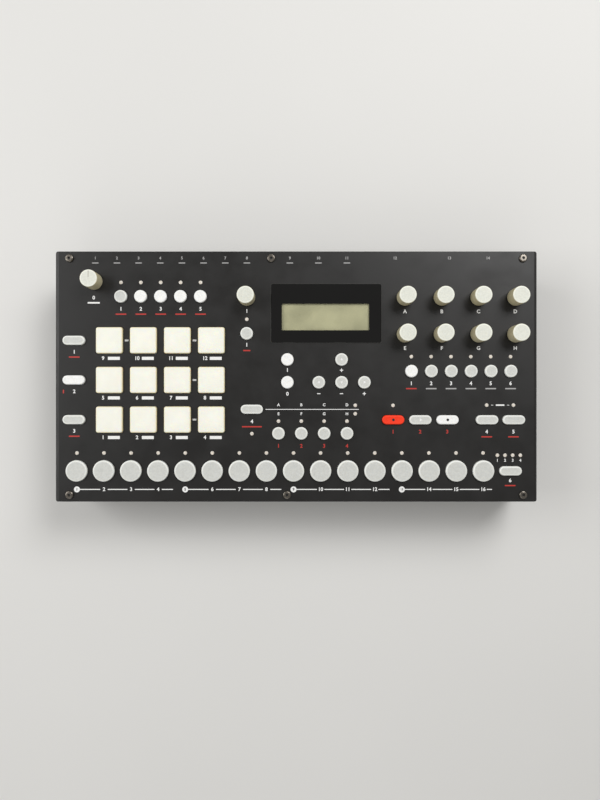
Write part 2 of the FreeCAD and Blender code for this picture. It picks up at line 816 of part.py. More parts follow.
def build():
    os.makedirs("parts", exist_ok=True)
    save("top_panel", [top_panel()])
    save("bottom_case", [bottom_case()])
    save("rear_panel", [rear_panel(), rear_screw_rail()])
    save("rubber_feet", [rubber_foot(x, y) for x, y in foot_points])
    save("screws_and_nuts", [panel_screw(x, y) for x, y in screw_points] + [jack_nut(x) for x in jack_xs])
    save("control_board", [control_board()])
    save("main_board", [main_board()])
    save("key_switches_and_pad_sensors",
         [key_switch(x, y) for x, y in step_points + small_key_points + pill_points]
         + [pad_sensor(x, y) for x, y in pad_points])
    save("encoder_bodies", [encoder_body(x, y) for x, y in knob_points])
    save("lamp_lenses", [lamp(x, y) for x, y in lamp_points])
    save("display_window", [display_window()])
    save("display_module", [display_module()])
    save("audio_jacks", [audio_jack(x) for x in jack_xs])
    save("midi_sockets", [midi_socket(x) for x in din_xs])
    save("usb_socket", [usb_socket()])
    save("power_inlet", [power_inlet()])
    save("power_switch_housing", [power_switch_housing()])
    save("power_rocker", [power_rocker()])
    save("volume_knob", marked_knob(*volume_point))
    save("level_knob", plain_knob(*level_point))
    for index, point in enumerate(data_knob_points):
        save("data_knob_%d" % (index + 1), plain_knob(*point))
    for index, point in enumerate(pad_points):
        save("drum_pad_%d" % (index + 1), [drum_pad(*point)])
    for index, (x, y) in enumerate(step_points):
        save("step_key_%d" % (index + 1), [round_key(x, y, step_key_radius, step_key_proud)])
    small_groups = {"mode_and_page_keys": mode_points + page_points, "edit_keys": track_points + edit_points}
    for node, points in small_groups.items():
        save(node, [round_key(x, y, small_key_radius, small_key_proud) for x, y in points])
    save("left_pill_keys", [pill_key(x, y) for x, y in left_pill_points])
    save("right_pill_keys", [pill_key(x, y) for x, y in right_pill_points])


build()
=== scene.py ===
"""Looks of a desktop drum machine: fine meshes and finishes on the frame of its CAD model.

Sizes are in millimetres and become metres where a mesh is made. X runs to the right, Y to the rear, Z up.
"""

import json
import logging
import math
from dataclasses import dataclass
from enum import Enum
from functools import cache
from typing import ClassVar

import bmesh
import bpy
from mathutils import Matrix, Vector

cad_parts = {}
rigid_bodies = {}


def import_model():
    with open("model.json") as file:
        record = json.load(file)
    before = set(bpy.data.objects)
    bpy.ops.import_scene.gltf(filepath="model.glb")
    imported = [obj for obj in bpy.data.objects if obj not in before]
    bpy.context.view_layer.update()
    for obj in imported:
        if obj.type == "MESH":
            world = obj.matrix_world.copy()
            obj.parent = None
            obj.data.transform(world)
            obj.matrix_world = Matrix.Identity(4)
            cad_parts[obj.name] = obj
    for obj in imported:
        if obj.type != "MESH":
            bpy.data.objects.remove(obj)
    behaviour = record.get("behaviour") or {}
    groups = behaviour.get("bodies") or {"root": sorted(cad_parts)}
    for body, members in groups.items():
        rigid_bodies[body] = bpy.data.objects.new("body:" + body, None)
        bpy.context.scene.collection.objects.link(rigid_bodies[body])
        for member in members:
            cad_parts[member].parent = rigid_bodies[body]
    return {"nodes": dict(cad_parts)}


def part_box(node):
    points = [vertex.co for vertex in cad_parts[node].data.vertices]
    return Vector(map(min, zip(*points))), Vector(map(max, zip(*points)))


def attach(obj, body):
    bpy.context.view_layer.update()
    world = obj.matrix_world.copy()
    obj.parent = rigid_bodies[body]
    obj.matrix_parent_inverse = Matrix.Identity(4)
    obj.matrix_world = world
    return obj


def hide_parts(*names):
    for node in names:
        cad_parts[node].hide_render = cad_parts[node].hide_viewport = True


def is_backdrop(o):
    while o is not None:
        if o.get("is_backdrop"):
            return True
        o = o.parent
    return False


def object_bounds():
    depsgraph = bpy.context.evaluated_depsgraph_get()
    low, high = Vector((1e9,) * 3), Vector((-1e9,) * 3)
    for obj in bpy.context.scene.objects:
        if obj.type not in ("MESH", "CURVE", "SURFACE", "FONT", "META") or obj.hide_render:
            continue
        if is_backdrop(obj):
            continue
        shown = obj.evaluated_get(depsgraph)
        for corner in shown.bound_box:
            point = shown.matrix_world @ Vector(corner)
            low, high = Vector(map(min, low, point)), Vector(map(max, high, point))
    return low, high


MM = 0.001
EDGE_LAYER = "edge_distance"
PANEL_TOP = 49.0
PRINT_THICKNESS = 0.03
SHARP_EDGE = math.radians(32)
LOG = logging.getLogger("drum_machine")
Spot = tuple[float, float]
Span = tuple[float, float]
Triple = tuple[float, float, float]
Colour = tuple[float, float, float, float]
Profile = list[tuple[float, float]]


# Finishes
@dataclass(frozen=True)
class Tone:
    """A colour as a screen shows it, each channel from 0 to 255."""

    red: float
    green: float
    blue: float

    def linear(self, lift: float = 1.0) -> Colour:
        """Turns the tone into a shader's colour, by the curve of common screens.

        Args:
            lift: Factor on its brightness.

        Returns:
            Linear red, green, blue and a full alpha.
        """
        channels = []
        for channel in (self.red, self.green, self.blue):
            share = channel / 255
            plain = share / 12.92 if share <= 0.04045 else ((share + 0.055) / 1.055) ** 2.4
            channels.append(min(plain * lift, 1.0))
        return (*channels, 1.0)


class Painter:
    """One material's node tree, with short calls for what the finishes share. Sizes are in millimetres."""

    mottle_detail: ClassVar[float] = 3.0
    mottle_window: ClassVar[Span] = (0.35, 0.65)

    def __init__(self, name: str) -> None:
        """Starts a material.

        Args:
            name: The material's name.
        """
        self.material = bpy.data.materials.new(name)
        self.material.use_nodes = True
        self.tree = self.material.node_tree
        self.shader = self.tree.nodes["Principled BSDF"]
        self.place = self.node("ShaderNodeTexCoord", {}).outputs["Object"]

    def feed(self, target: bpy.types.NodeSocket, value: object) -> None:
        """Links a socket to another one, or sets its value.

        Args:
            target: The socket.
            value: Its source socket, or its number, vector or colour.
        """
        if isinstance(value, bpy.types.NodeSocket):
            self.tree.links.new(value, target)
        else:
            target.default_value = value

    def node(self, kind: str, inputs: dict[str, object], **settings: object) -> bpy.types.Node:
        """Adds a node.

        Args:
            kind: The node's type.
            inputs: What its sockets get.
            settings: Attributes that it gets.

        Returns:
            The node.
        """
        made = self.tree.nodes.new(kind)
        for name, value in settings.items():
            setattr(made, name, value)
        for name, value in inputs.items():
            self.feed(made.inputs[name], value)
        return made

    def set(self, values: dict[str, object]) -> None:
        """Gives the shader's own sockets their values or sources."""
        for name, value in values.items():
            self.feed(self.shader.inputs[name], value)

    def noise(self, size: float, detail: float, stretch: Triple = (1.0, 1.0, 1.0)) -> bpy.types.NodeSocket:
        """Adds a noise whose spots have a real size.

        Args:
            size: Size of a spot.
            detail: Number of finer layers.
            stretch: Scale along each axis.

        Returns:
            The noise's value.
        """
        mapping = self.node("ShaderNodeMapping", {"Scale": stretch, "Vector": self.place})
        inputs = {"Scale": 1 / (size * MM), "Detail": detail, "Vector": mapping.outputs["Vector"]}
        return self.node("ShaderNodeTexNoise", inputs).outputs["Fac"]

    def spread(self, source: bpy.types.NodeSocket, window: Span, reach: Span) -> bpy.types.NodeSocket:
        """Maps a value from one range to another.

        Args:
            source: The value.
            window: Its lowest and highest number that count.
            reach: What these become.

        Returns:
            The mapped value.
        """
        numbers = dict(zip(("From Min", "From Max", "To Min", "To Max"), (*window, *reach)))
        return self.node("ShaderNodeMapRange", {"Value": source, **numbers}).outputs["Result"]

    def blend(self, share: bpy.types.NodeSocket, first: object, second: object) -> bpy.types.NodeSocket:
        """Blends two colours.

        Args:
            share: How much of the second one shows.
            first: A colour or a colour socket.
            second: A colour or a colour socket.

        Returns:
            The blended colour.
        """
        mix = self.node("ShaderNodeMix", {"Factor": share}, data_type="RGBA")
        for name, colour in (("A", first), ("B", second)):
            self.feed(next(s for s in mix.inputs if s.name == name and s.type == "RGBA"), colour)
        return next(s for s in mix.outputs if s.type == "RGBA")

    def mottle(self, tone: Tone, depth: float, size: float) -> bpy.types.NodeSocket:
        """Lets a tone get darker and lighter by a share of it, in spots of a size."""
        share = self.spread(self.noise(size, self.mottle_detail), self.mottle_window, (0.0, 1.0))
        return self.blend(share, tone.linear(1 - depth), tone.linear(1 + depth))

    def bump(self, height: bpy.types.NodeSocket, depth: float, strength: float) -> None:
        """Adds relief of a depth and strength from a height between 0 and 1."""
        inputs = {"Height": height, "Distance": depth * MM, "Strength": strength}
        self.set({"Normal": self.node("ShaderNodeBump", inputs).outputs["Normal"]})

    def edge_share(self, width: float) -> bpy.types.NodeSocket:
        """Gives 1 at a moulded piece's outer edge, falling to 0 at a distance from it."""
        distance = self.node("ShaderNodeAttribute", {}, attribute_name=EDGE_LAYER)
        return self.spread(distance.outputs["Fac"], (0.0, width), (1.0, 0.0))


@dataclass(frozen=True)
class Texture:
    """How a surface varies.

    Attributes:
        relief: Depth and strength of the relief.
        mottle: Share by which the tone wanders, and the size of its spots.
        sheen: How far the roughness swings, and the size of its spots.
        grain: Size and detail of the relief's noise.
    """

    relief: Span
    mottle: Span = (0.0, 0.0)
    sheen: Span = (0.0, 0.0)
    grain: Span = (0.0, 0.0)


@dataclass(frozen=True)
class Spots:
    """Scattered spots of a lighter or darker tone."""

    size: float
    detail: float
    window: Span
    share: float
    lift: float


@dataclass(frozen=True)
class Finish:
    """A surface's looks. What all surfaces of a kind share is set once for the kind."""

    name: str
    tone: Tone
    roughness: float
    texture: ClassVar[Texture]
    spots: ClassVar[Spots | None] = None
    sockets: ClassVar[dict[str, object]] = {}
    stretch: ClassVar[Triple] = (1.0, 1.0, 1.0)
    sheen_detail: ClassVar[float] = 2.0
    sheen_window: ClassVar[Span] = (0.3, 0.7)

    @cache
    def material(self) -> bpy.types.Material:
        """Makes the finish's material when it is first asked for.

        Returns:
            The material.
        """
        painter = Painter(f"{self.name}_finish")
        painter.set(self.sockets)
        self.dress(painter)
        return painter.material

    def colour(self, painter: Painter) -> object:
        """Lets the tone wander, and scatters spots where the kind has them.

        Args:
            painter: The material's painter.

        Returns:
            The colour, or its socket.
        """
        depth, size = self.texture.mottle
        base = painter.mottle(self.tone, depth, size) if depth else self.tone.linear()
        if self.spots is None:
            return base
        noise = painter.noise(self.spots.size, self.spots.detail)
        share = painter.spread(noise, self.spots.window, (0.0, self.spots.share))
        return painter.blend(share, base, self.tone.linear(self.spots.lift))

    def sheen(self, painter: Painter) -> bpy.types.NodeSocket:
        """Gives the roughness, which swings either way in spots."""
        swing, size = self.texture.sheen
        return painter.spread(painter.noise(size, self.sheen_detail), self.sheen_window,
                              (self.roughness - swing, self.roughness + swing))

    def dress(self, painter: Painter) -> None:
        """Gives the material its colour, sheen and relief."""
        painter.set({"Base Color": self.colour(painter), "Roughness": self.sheen(painter)})
        painter.bump(painter.noise(*self.texture.grain, self.stretch), *self.texture.relief)


def inner_light(weight: float, tint: Triple, reach: float) -> dict[str, object]:
    """Lets light go a way into a surface, with a weight, a tint and a reach in millimetres."""
    return {"Subsurface Weight": weight, "Subsurface Radius": tint, "Subsurface Scale": reach * MM}


class PowderCoat(Finish):
    """Baked paint on sheet metal, with a fine orange peel and a little handling sheen."""

    texture = Texture(mottle=(0.05, 38.0), sheen=(0.06, 14.0), grain=(0.45, 2.0), relief=(0.03, 0.32))
    spots = Spots(size=0.7, detail=1.0, window=(0.60, 0.72), share=0.35, lift=2.2)


class MouldedPlastic(Finish):
    """Moulded plastic with a fine spark texture."""

    texture = Texture(mottle=(0.05, 9.0), sheen=(0.05, 3.0), grain=(0.3, 2.0), relief=(0.015, 0.25))


class Rubber(Finish):
    """Matt black rubber with a dusty grain."""

    texture = Texture(sheen=(0.05, 5.0), grain=(0.5, 3.0), relief=(0.05, 0.4))
    spots = Spots(size=2.0, detail=5.0, window=(0.5, 0.8), share=0.3, lift=2.5)


class Ink(Finish):
    """Screen-printed ink, thin in tiny spots where the coat below has its grain."""

    texture = Texture(sheen=(0.05, 1.5), grain=(0.45, 2.0), relief=(0.01, 0.2))
    spots = Spots(size=0.4, detail=2.0, window=(0.55, 0.8), share=0.4, lift=0.6)


class Lens(Finish):
    """Milky lamp lens with a soft core."""

    texture = Texture(mottle=(0.12, 1.2), sheen=(0.04, 1.0), grain=(0.3, 1.0), relief=(0.01, 0.2))
    sockets = inner_light(0.4, (1.0, 0.9, 0.8), 0.8)


@dataclass(frozen=True)
class KeyPlastic(Finish):
    """Moulded key or knob plastic: light goes a little way in, and a painted highlight makes its edge
    paler.
    """

    # Painted highlight: the edge band is lifted paler, for light catching the bevel.
    edge_lift: float = 1.55
    edge_width: float = 1.3
    texture = Texture(mottle=(0.05, 1.1), sheen=(0.06, 2.5), grain=(0.28, 2.0), relief=(0.012, 0.3))
    spots = Spots(size=2.6, detail=4.0, window=(0.56, 0.75), share=0.2, lift=0.75)
    sockets = inner_light(0.1, (1.0, 0.9, 0.75), 1.2)

    def colour(self, painter: Painter) -> object:
        """Gives the soiled face's colour, with a painted highlight that makes its edge paler."""
        edge = painter.edge_share(self.edge_width)
        return painter.blend(edge, super().colour(painter), self.tone.linear(self.edge_lift))


@dataclass(frozen=True)
class KnobPlastic(KeyPlastic):
    """Knob plastic with painted shade on its upright side, darker and yellower than the top."""

    # Painted shade, with a painted yellow reflection, on the upright side.
    side: Tone = Tone(203, 194, 160)
    side_width: float = 0.25

    def colour(self, painter: Painter) -> object:
        """Gives the top's colour, and the painted shade on the side."""
        side = painter.edge_share(self.side_width)
        return painter.blend(side, super().colour(painter), self.side.linear())


@dataclass(frozen=True)
class Silicone(Finish):
    """Milky silicone rubber, with painted warm light glowing at its rounded rim."""

    # Painted light: the rim's warm tone stands in for light glowing through the thin edge.
    rim: Tone = Tone(240, 226, 184)
    rim_width: float = 1.0
    border_lift: float = 0.96
    border_width: float = 5.5
    texture = Texture(mottle=(0.025, 11.0), sheen=(0.05, 4.0), grain=(0.35, 2.0), relief=(0.012, 0.28))
    sockets = inner_light(0.35, (1.0, 0.8, 0.55), 2.4)

    def colour(self, painter: Painter) -> object:
        """Gives the face's colour, darker at its border, with painted warm light at its rim."""
        inner = painter.blend(painter.edge_share(self.border_width), super().colour(painter),
                              self.tone.linear(self.border_lift))
        return painter.blend(painter.edge_share(self.rim_width), inner, self.rim.linear())


class Metal(Finish):
    """Turned or drawn metal with fine lines along one axis."""

    texture = Texture(mottle=(0.06, 2.0), grain=(0.5, 3.0), relief=(0.01, 0.15))
    sockets = {"Metallic": 1.0}
    stretch = (1.0, 1.0, 8.0)
    smoother: ClassVar[float] = 0.08
    rougher: ClassVar[float] = 0.1

    def sheen(self, painter: Painter) -> bpy.types.NodeSocket:
        """Gives the roughness, which follows the lines."""
        reach = (self.roughness - self.smoother, self.roughness + self.rougher)
        return painter.spread(painter.noise(*self.texture.grain, self.stretch), self.sheen_window, reach)


class Laminate(Finish):
    """Circuit board: solder mask over copper tracks."""

    texture = Texture(mottle=(0.1, 10.4), sheen=(0.05, 5.0), relief=(0.04, 0.4))
    track_lift: ClassVar[float] = 1.9
    track_share: ClassVar[float] = 0.03

    def dress(self, painter: Painter) -> None:
        """Gives the material its fields and tracks.

        Args:
            painter: The material's painter.
        """
        depth, size = self.texture.mottle
        cells = painter.node("ShaderNodeTexBrick", {
            "Vector": painter.place, "Scale": 1 / (size * MM), "Mortar Size": self.track_share,
            "Color1": self.tone.linear(1 - depth), "Color2": self.tone.linear(1 + depth),
            "Mortar": self.tone.linear(self.track_lift)})
        painter.set({"Base Color": cells.outputs["Color"], "Roughness": self.sheen(painter)})
        painter.bump(cells.outputs["Fac"], *self.texture.relief)


@dataclass(frozen=True)
class Acrylic(Finish):
    """Polished acrylic, from opaque to clear, with faint wipe marks."""

    clearness: float = 0.0
    texture = Texture(mottle=(0.1, 30.0), grain=(60.0, 1.0), relief=(0.1, 0.1))
    wipe_size: ClassVar[float] = 3.0
    wipe_detail: ClassVar[float] = 5.0
    wipe_stretch: ClassVar[Triple] = (0.25, 1.0, 1.0)
    wipe_window: ClassVar[Span] = (0.4, 0.8)
    wipe_swing: ClassVar[float] = 0.06

    def sheen(self, painter: Painter) -> bpy.types.NodeSocket:
        """Gives the roughness, which is higher along the wipe marks."""
        wipes = painter.noise(self.wipe_size, self.wipe_detail, self.wipe_stretch)
        return painter.spread(wipes, self.wipe_window, (self.roughness, self.roughness + self.wipe_swing))

    def dress(self, painter: Painter) -> None:
        """Gives the material its nodes and its clearness."""
        super().dress(painter)
        painter.set({"Alpha": 1 - self.clearness})


class LiquidCrystal(Finish):
    """Unlit liquid crystal glass: a fine grid of cells over a dull reflector."""

    # The deep, wide mottle is painted reflection: soft cloudy patches of light on the glass.
    texture = Texture(mottle=(0.13, 17.0), sheen=(0.03, 8.0), grain=(1.0, 1.0), relief=(0.005, 0.1))
    sockets = {"Coat Weight": 0.5, "Coat Roughness": 0.08}
    wave_scale: ClassVar[float] = 0.314 / (0.48 * MM)
    gap_window: ClassVar[Span] = (0.0, 0.18)
    gap_share: ClassVar[float] = 0.12
    gap_lift: ClassVar[float] = 0.55

    def colour(self, painter: Painter) -> object:
        """Darkens the gaps between the cells, 0.48 mm apart.

        Args:
            painter: The material's painter.

        Returns:
            The colour's socket.
        """
        shade = super().colour(painter)
        for axis in ("X", "Y"):
            inputs = {"Vector": painter.place, "Scale": self.wave_scale, "Distortion": 0.0}
            lines = painter.node("ShaderNodeTexWave", inputs, wave_type="BANDS", bands_direction=axis)
            gap = painter.spread(lines.outputs["Fac"], self.gap_window, (self.gap_share, 0.0))
            shade = painter.blend(gap, shade, self.tone.linear(self.gap_lift))
        return shade


class Finishes(Enum):
    """Every finish of the drum machine."""

    PANEL = PowderCoat("panel_coat", Tone(20, 18.6, 17.2), 0.42)
    CASE = PowderCoat("case_coat", Tone(24, 24, 24), 0.5)
    FOOT = Rubber("foot_rubber", Tone(24, 24, 24), 0.85)
    STEEL = Metal("screw_steel", Tone(128, 122, 114), 0.28)
    SHAFT = Metal("shaft_metal", Tone(170, 168, 165), 0.35)
    BRASS = Metal("contact_brass", Tone(200, 165, 95), 0.3)
    BOARD = Laminate("board_laminate", Tone(22, 66, 40), 0.4)
    SWITCH = MouldedPlastic("switch_plastic", Tone(40, 40, 42), 0.5)
    ENCODER = Metal("encoder_metal", Tone(175, 175, 172), 0.38)
    LENS = Lens("lamp_lens", Tone(224, 214, 201), 0.3)
    PANE_BLACK = Acrylic("window_black", Tone(8, 7.5, 7), 0.06)
    PANE_CLEAR = Acrylic("window_clear", Tone(60, 62, 52), 0.05, clearness=0.85)
    LCD = LiquidCrystal("display_glass", Tone(224, 221, 178), 0.3)
    JACK = MouldedPlastic("jack_plastic", Tone(28, 28, 29), 0.42)
    SOCKET = MouldedPlastic("socket_plastic", Tone(34, 34, 35), 0.5)
    USB = Metal("usb_shell", Tone(190, 190, 188), 0.3)
    SWITCH_FRAME = MouldedPlastic("switch_frame", Tone(26, 26, 27), 0.35)
    # Painted highlight: a pale ring round the display window for light on its edge.
    GASKET = MouldedPlastic("window_gasket", Tone(46, 45, 43), 0.4)
    IVORY = KnobPlastic("knob_ivory", Tone(221, 222, 211), 0.42, edge_lift=1.28)
    SILICONE = Silicone("pad_silicone", Tone(246, 245, 233), 0.5)
    GREY = KeyPlastic("key_grey", Tone(206, 207, 202), 0.45)
    WHITE = KeyPlastic("key_white", Tone(243, 243, 240), 0.42, edge_lift=1.05)
    RED = KeyPlastic("key_red", Tone(247, 54, 10), 0.42, edge_lift=1.2)
    PRINT_WHITE = Ink("ink_white", Tone(238, 238, 236), 0.5)
    PRINT_RED = Ink("ink_red", Tone(188, 50, 42), 0.5)
    PRINT_GREY = Ink("ink_grey", Tone(166, 165, 164), 0.5)
    # Dark ink for print, also used as painted shade in the screws' sockets.
    PRINT_DARK = Ink("ink_and_shade_dark", Tone(30, 30, 32), 0.5)
    # Painted shade: a slightly darker line for the shade in the knob's moulded index groove.
    INDEX = Ink("knob_index_line", Tone(196, 194, 182), 0.45)

    def material(self) -> bpy.types.Material:
        """Returns the finish's material."""
        return self.value.material()


# Shapes
def upright(x: float, y: float) -> Matrix:
    """Places a shape that stands on the panel."""
    return Matrix.Translation((x, y, 0))


@dataclass(frozen=True)
class Outline:
    """A rounded rectangle, or a pill or circle where its corners use up its sides."""

    length: float
    width: float
    corner: float
    steps: int = 8

    def points(self, inset: float = 0.0) -> list[Spot]:
        """Walks round the outline.

        Args:
            inset: How far inside the outer line the points lie.

        Returns:
            Points round the origin, the same number for any inset.
        """
        least = 0.02
        radius = max(self.corner - inset, least)
        beyond = inset - (self.corner - radius)
        straight = (self.length / 2 - self.corner, self.width / 2 - self.corner)
        reach = [max(side - beyond, 0.0) for side in straight]
        found = []
        for quarter, (side_x, side_y) in enumerate(((1, 1), (-1, 1), (-1, -1), (1, -1))):
            closed = straight[quarter % 2] < least
            for step in range(self.steps if closed else self.steps + 1):
                angle = (quarter + step / self.steps) * math.pi / 2
                x = side_x * reach[0] + radius * math.cos(angle)
                found.append((x, side_y * reach[1] + radius * math.sin(angle)))
        return found

    def grown(self, reach: float) -> "Outline":
        """Returns the outline that lies further out."""
        return Outline(self.length + 2 * reach, self.width + 2 * reach, self.corner + reach, self.steps)


def circle(radius: float, steps: int = 8) -> Outline:
    """Returns a round outline."""
    return Outline(2 * radius, 2 * radius, radius, steps)


class Sculpt:
    """Closed shells that become one finished piece."""

    def __init__(self, name: str) -> None:
        """Starts a piece.

        Args:
            name: The piece's name.
        """
        self.name = name
        self.mesh = bmesh.new()
        self.edge = self.mesh.verts.layers.float.new(EDGE_LAYER)

    def ring(self, spot: Matrix, outline: Outline, inset: float, height: float) -> list[bmesh.types.BMVert]:
        """Adds one closed line of vertices.

        Args:
            spot: Where the shape stands.
            outline: Its outline.
            inset: How far inside the outline the line lies.
            height: Its height.

        Returns:
            The vertices.
        """
        made = []
        for x, y in outline.points(inset):
            vertex = self.mesh.verts.new(spot @ Vector((x, y, height)) * MM)
            vertex[self.edge] = inset
            made.append(vertex)
        return made

    def bridge(self, first: list[bmesh.types.BMVert], second: list[bmesh.types.BMVert]) -> None:
        """Fills the band between two lines of vertices.

        Args:
            first: One line.
            second: The other line, with as many vertices.
        """
        for index, low in enumerate(first):
            following = (index + 1) % len(first)
            self.mesh.faces.new((low, first[following], second[following], second[index]))

    def loft(self, spot: Matrix, outline: Outline, profile: Profile) -> None:
        """Adds a closed shell.

        Args:
            spot: Where the shape stands.
            outline: Its outline.
            profile: Inset and height of each line, from one end to the other.
        """
        rings = [self.ring(spot, outline, inset, height) for inset, height in profile]
        for lower, upper in zip(rings, rings[1:]):
            self.bridge(lower, upper)
        self.mesh.faces.new(rings[0][::-1])
        self.mesh.faces.new(rings[-1])

    def surround(
        self, outer: tuple[Matrix, Outline], inner: tuple[Matrix, Outline], low: float, high: float,
        bevel: float = 0.3,
    ) -> None:
        """Adds a plate with an opening.

        Args:
            outer: Place and outline of its rim.
            inner: Place and outline of its opening.
            low: Height of its underside.
            high: Height of its face.
            bevel: Width of the bevel round its face.
        """
        rings = [
            self.ring(*outer, 0.0, low),
            self.ring(*outer, 0.0, high - bevel),
            self.ring(*outer, bevel, high),
            self.ring(*inner, 0.0, high),
            self.ring(*inner, 0.0, low),
        ]
        for first, second in zip(rings, rings[1:] + rings[:1]):
            self.bridge(first, second)

    def finish(
        self, finish: Finishes, body: str, slot: str, nodes: tuple[str, ...] = (),
    ) -> bpy.types.Object:
        """Turns the shells into a piece that rides on its body.

        Args:
            finish: Its finish.
            body: The body that it moves with.
            slot: Its material slot in the record.
            nodes: CAD nodes that it stands for.

        Returns:
            The piece.
        """
        bmesh.ops.recalc_face_normals(self.mesh, faces=self.mesh.faces)
        data = bpy.data.meshes.new(self.name)
        self.mesh.to_mesh(data)
        self.mesh.free()
        data.shade_smooth()
        data.set_sharp_from_angle(angle=SHARP_EDGE)
        data.materials.append(finish.material())
        return mount(bpy.data.objects.new(self.name, data), body, slot, nodes)


def mount(piece: bpy.types.Object, body: str, slot: str, nodes: tuple[str, ...] = ()) -> bpy.types.Object:
    """Sets a piece on its body.

    Args:
        piece: The piece, not yet in the scene.
        body: The body that it moves with.
        slot: Its material slot in the record; not used.
        nodes: CAD nodes that it stands for.

    Returns:
        The piece.
    """
    bpy.context.scene.collection.objects.link(piece)
    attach(piece, body)
    if nodes:
        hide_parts(*nodes)
    LOG.info("%s rides on %s", piece.name, body)
    return piece


def chamfer_profile(top: float, width: float, fall: float, soft: float = 0.12) -> Profile:
    """Gives a bevelled edge with softened corners.

    Args:
        top: Height of the top.
        width: How far in the bevel reaches.
        fall: How far down it reaches.
        soft: How far its corners are softened.

    Returns:
        Insets and heights, from the side to the top.
    """
    low = top - fall
    nick, rise, sink, rim = 0.03, 0.08, 0.07, 0.02
    return [(0.0, low - soft), (nick, low), (soft, low + rise), (width - soft, top - sink),
            (width, top - rim), (width + soft, top)]


def arc_profile(top: float, radius: float, steps: int = 4) -> Profile:
    """Gives the rounded edge of an upright side that meets a top.

    Args:
        top: Height of the top.
        radius: Radius of the edge.
        steps: Number of faces round it.

    Returns:
        Insets and heights, from the side to the top.
    """
    angles = [math.pi / 2 * step / steps for step in range(steps + 1)]
    return [(radius * (1 - math.cos(a)), top - radius * (1 - math.sin(a))) for a in angles]


@dataclass(frozen=True)
class Cap:
    """A moulded key: face, retaining flange and the stem below it."""

    outline: Outline
    top: float
    stem: Outline = circle(1.7, 4)
    edge_round: float = 0.5
    edge_fall: float = 0.45
    soft: bool = False
    hollow: float = 0.12
    flange_reach: float = 0.8
    flange_low: float = 46.0
    flange_high: float = 47.2
    stem_low: float = 39.4
    face_shares: ClassVar[tuple[float, ...]] = (0.1, 0.2, 0.4, 0.6, 0.8, 0.97)

    def level(self, share: float) -> float:
        """Gives the face's height at a share of the way from its edge to its middle."""
        bell = math.sin(share * math.pi / 2) ** 2
        return self.top + min(self.hollow, 0.0) - self.hollow * bell

    def add_to(self, sculpt: Sculpt, x: float, y: float) -> None:
        """Adds the key to a piece.

        Args:
            sculpt: The piece.
            x: The key's place to the right.
            y: The key's place to the rear.
        """
        spot = upright(x, y)
        half = min(self.outline.length, self.outline.width) / 2
        face = [(self.edge_round + share * (half - self.edge_round), self.level(share))
                for share in self.face_shares]
        edge = (arc_profile(self.level(0.0), self.edge_round) if self.soft
                else chamfer_profile(self.level(0.0), self.edge_round, self.edge_fall))
        flange = self.outline.grown(self.flange_reach)
        sculpt.loft(spot, self.outline, [(0.0, self.flange_low), *edge, *face])
        sculpt.loft(spot, flange, [(0.0, self.flange_low), (0.0, self.flange_high)])
        sculpt.loft(spot, self.stem, [(0.0, self.stem_low), (0.0, self.flange_low)])


# The CAD frame
@dataclass(frozen=True)
class Box:
    """The box round one solid."""

    low: Vector
    high: Vector

    @property
    def centre(self) -> Vector:
        """The box's middle."""
        return (self.low + self.high) / 2


class Frame:
    """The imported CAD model: where its solids are, and how its own nodes are dressed."""

    def __init__(self) -> None:
        """Clears the scene and loads the model."""
        for old in list(bpy.data.objects):
            bpy.data.objects.remove(old)
        self.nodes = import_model()["nodes"]
        self.cad_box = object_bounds()

    def box(self, node: str) -> Box:
        """Gives a node's box."""
        low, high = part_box(node)
        return Box(low / MM, high / MM)

    def solids(self, node: str) -> list[Box]:
        """Finds the separate solids of a node.

        Args:
            node: The node's name.

        Returns:
            Their boxes, row by row from the rear, each row from the left.
        """
        mesh = bmesh.new()
        mesh.from_mesh(self.nodes[node].data)
        bmesh.ops.remove_doubles(mesh, verts=mesh.verts, dist=1e-6)
        left = set(mesh.verts)
        boxes = []
        while left:
            stack = [left.pop()]
            low = stack[0].co.copy()
            high = stack[0].co.copy()
            while stack:
                vertex = stack.pop()
                low = Vector(map(min, low, vertex.co))
                high = Vector(map(max, high, vertex.co))
                for edge in vertex.link_edges:
                    other = edge.other_vert(vertex)
                    if other in left:
                        left.remove(other)
                        stack.append(other)
            boxes.append(Box(low / MM, high / MM))
        mesh.free()
        return sorted(boxes, key=lambda box: (-round(box.centre.y), round(box.centre.x, 1)))

    def spots(self, node: str) -> list[Spot]:
        """Gives the middle of each solid of a node, seen from above."""
        return [(box.centre.x, box.centre.y) for box in self.solids(node)]

    def dress(self, finishes: dict[str, Finishes]) -> None:
        """Gives CAD nodes their finish.

        Args:
            finishes: A finish for each node's name.
        """
        for name, finish in finishes.items():
            data = self.nodes[name].data
            data.materials.clear()
            data.materials.append(finish.material())

    def write_sizes(self) -> None:
        """Works out the CAD box and the finished object's box as plain lists."""
        boxes = {"cad": self.cad_box, "visual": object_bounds()}
        plain = {name: [list(corner) for corner in corners] for name, corners in boxes.items()}


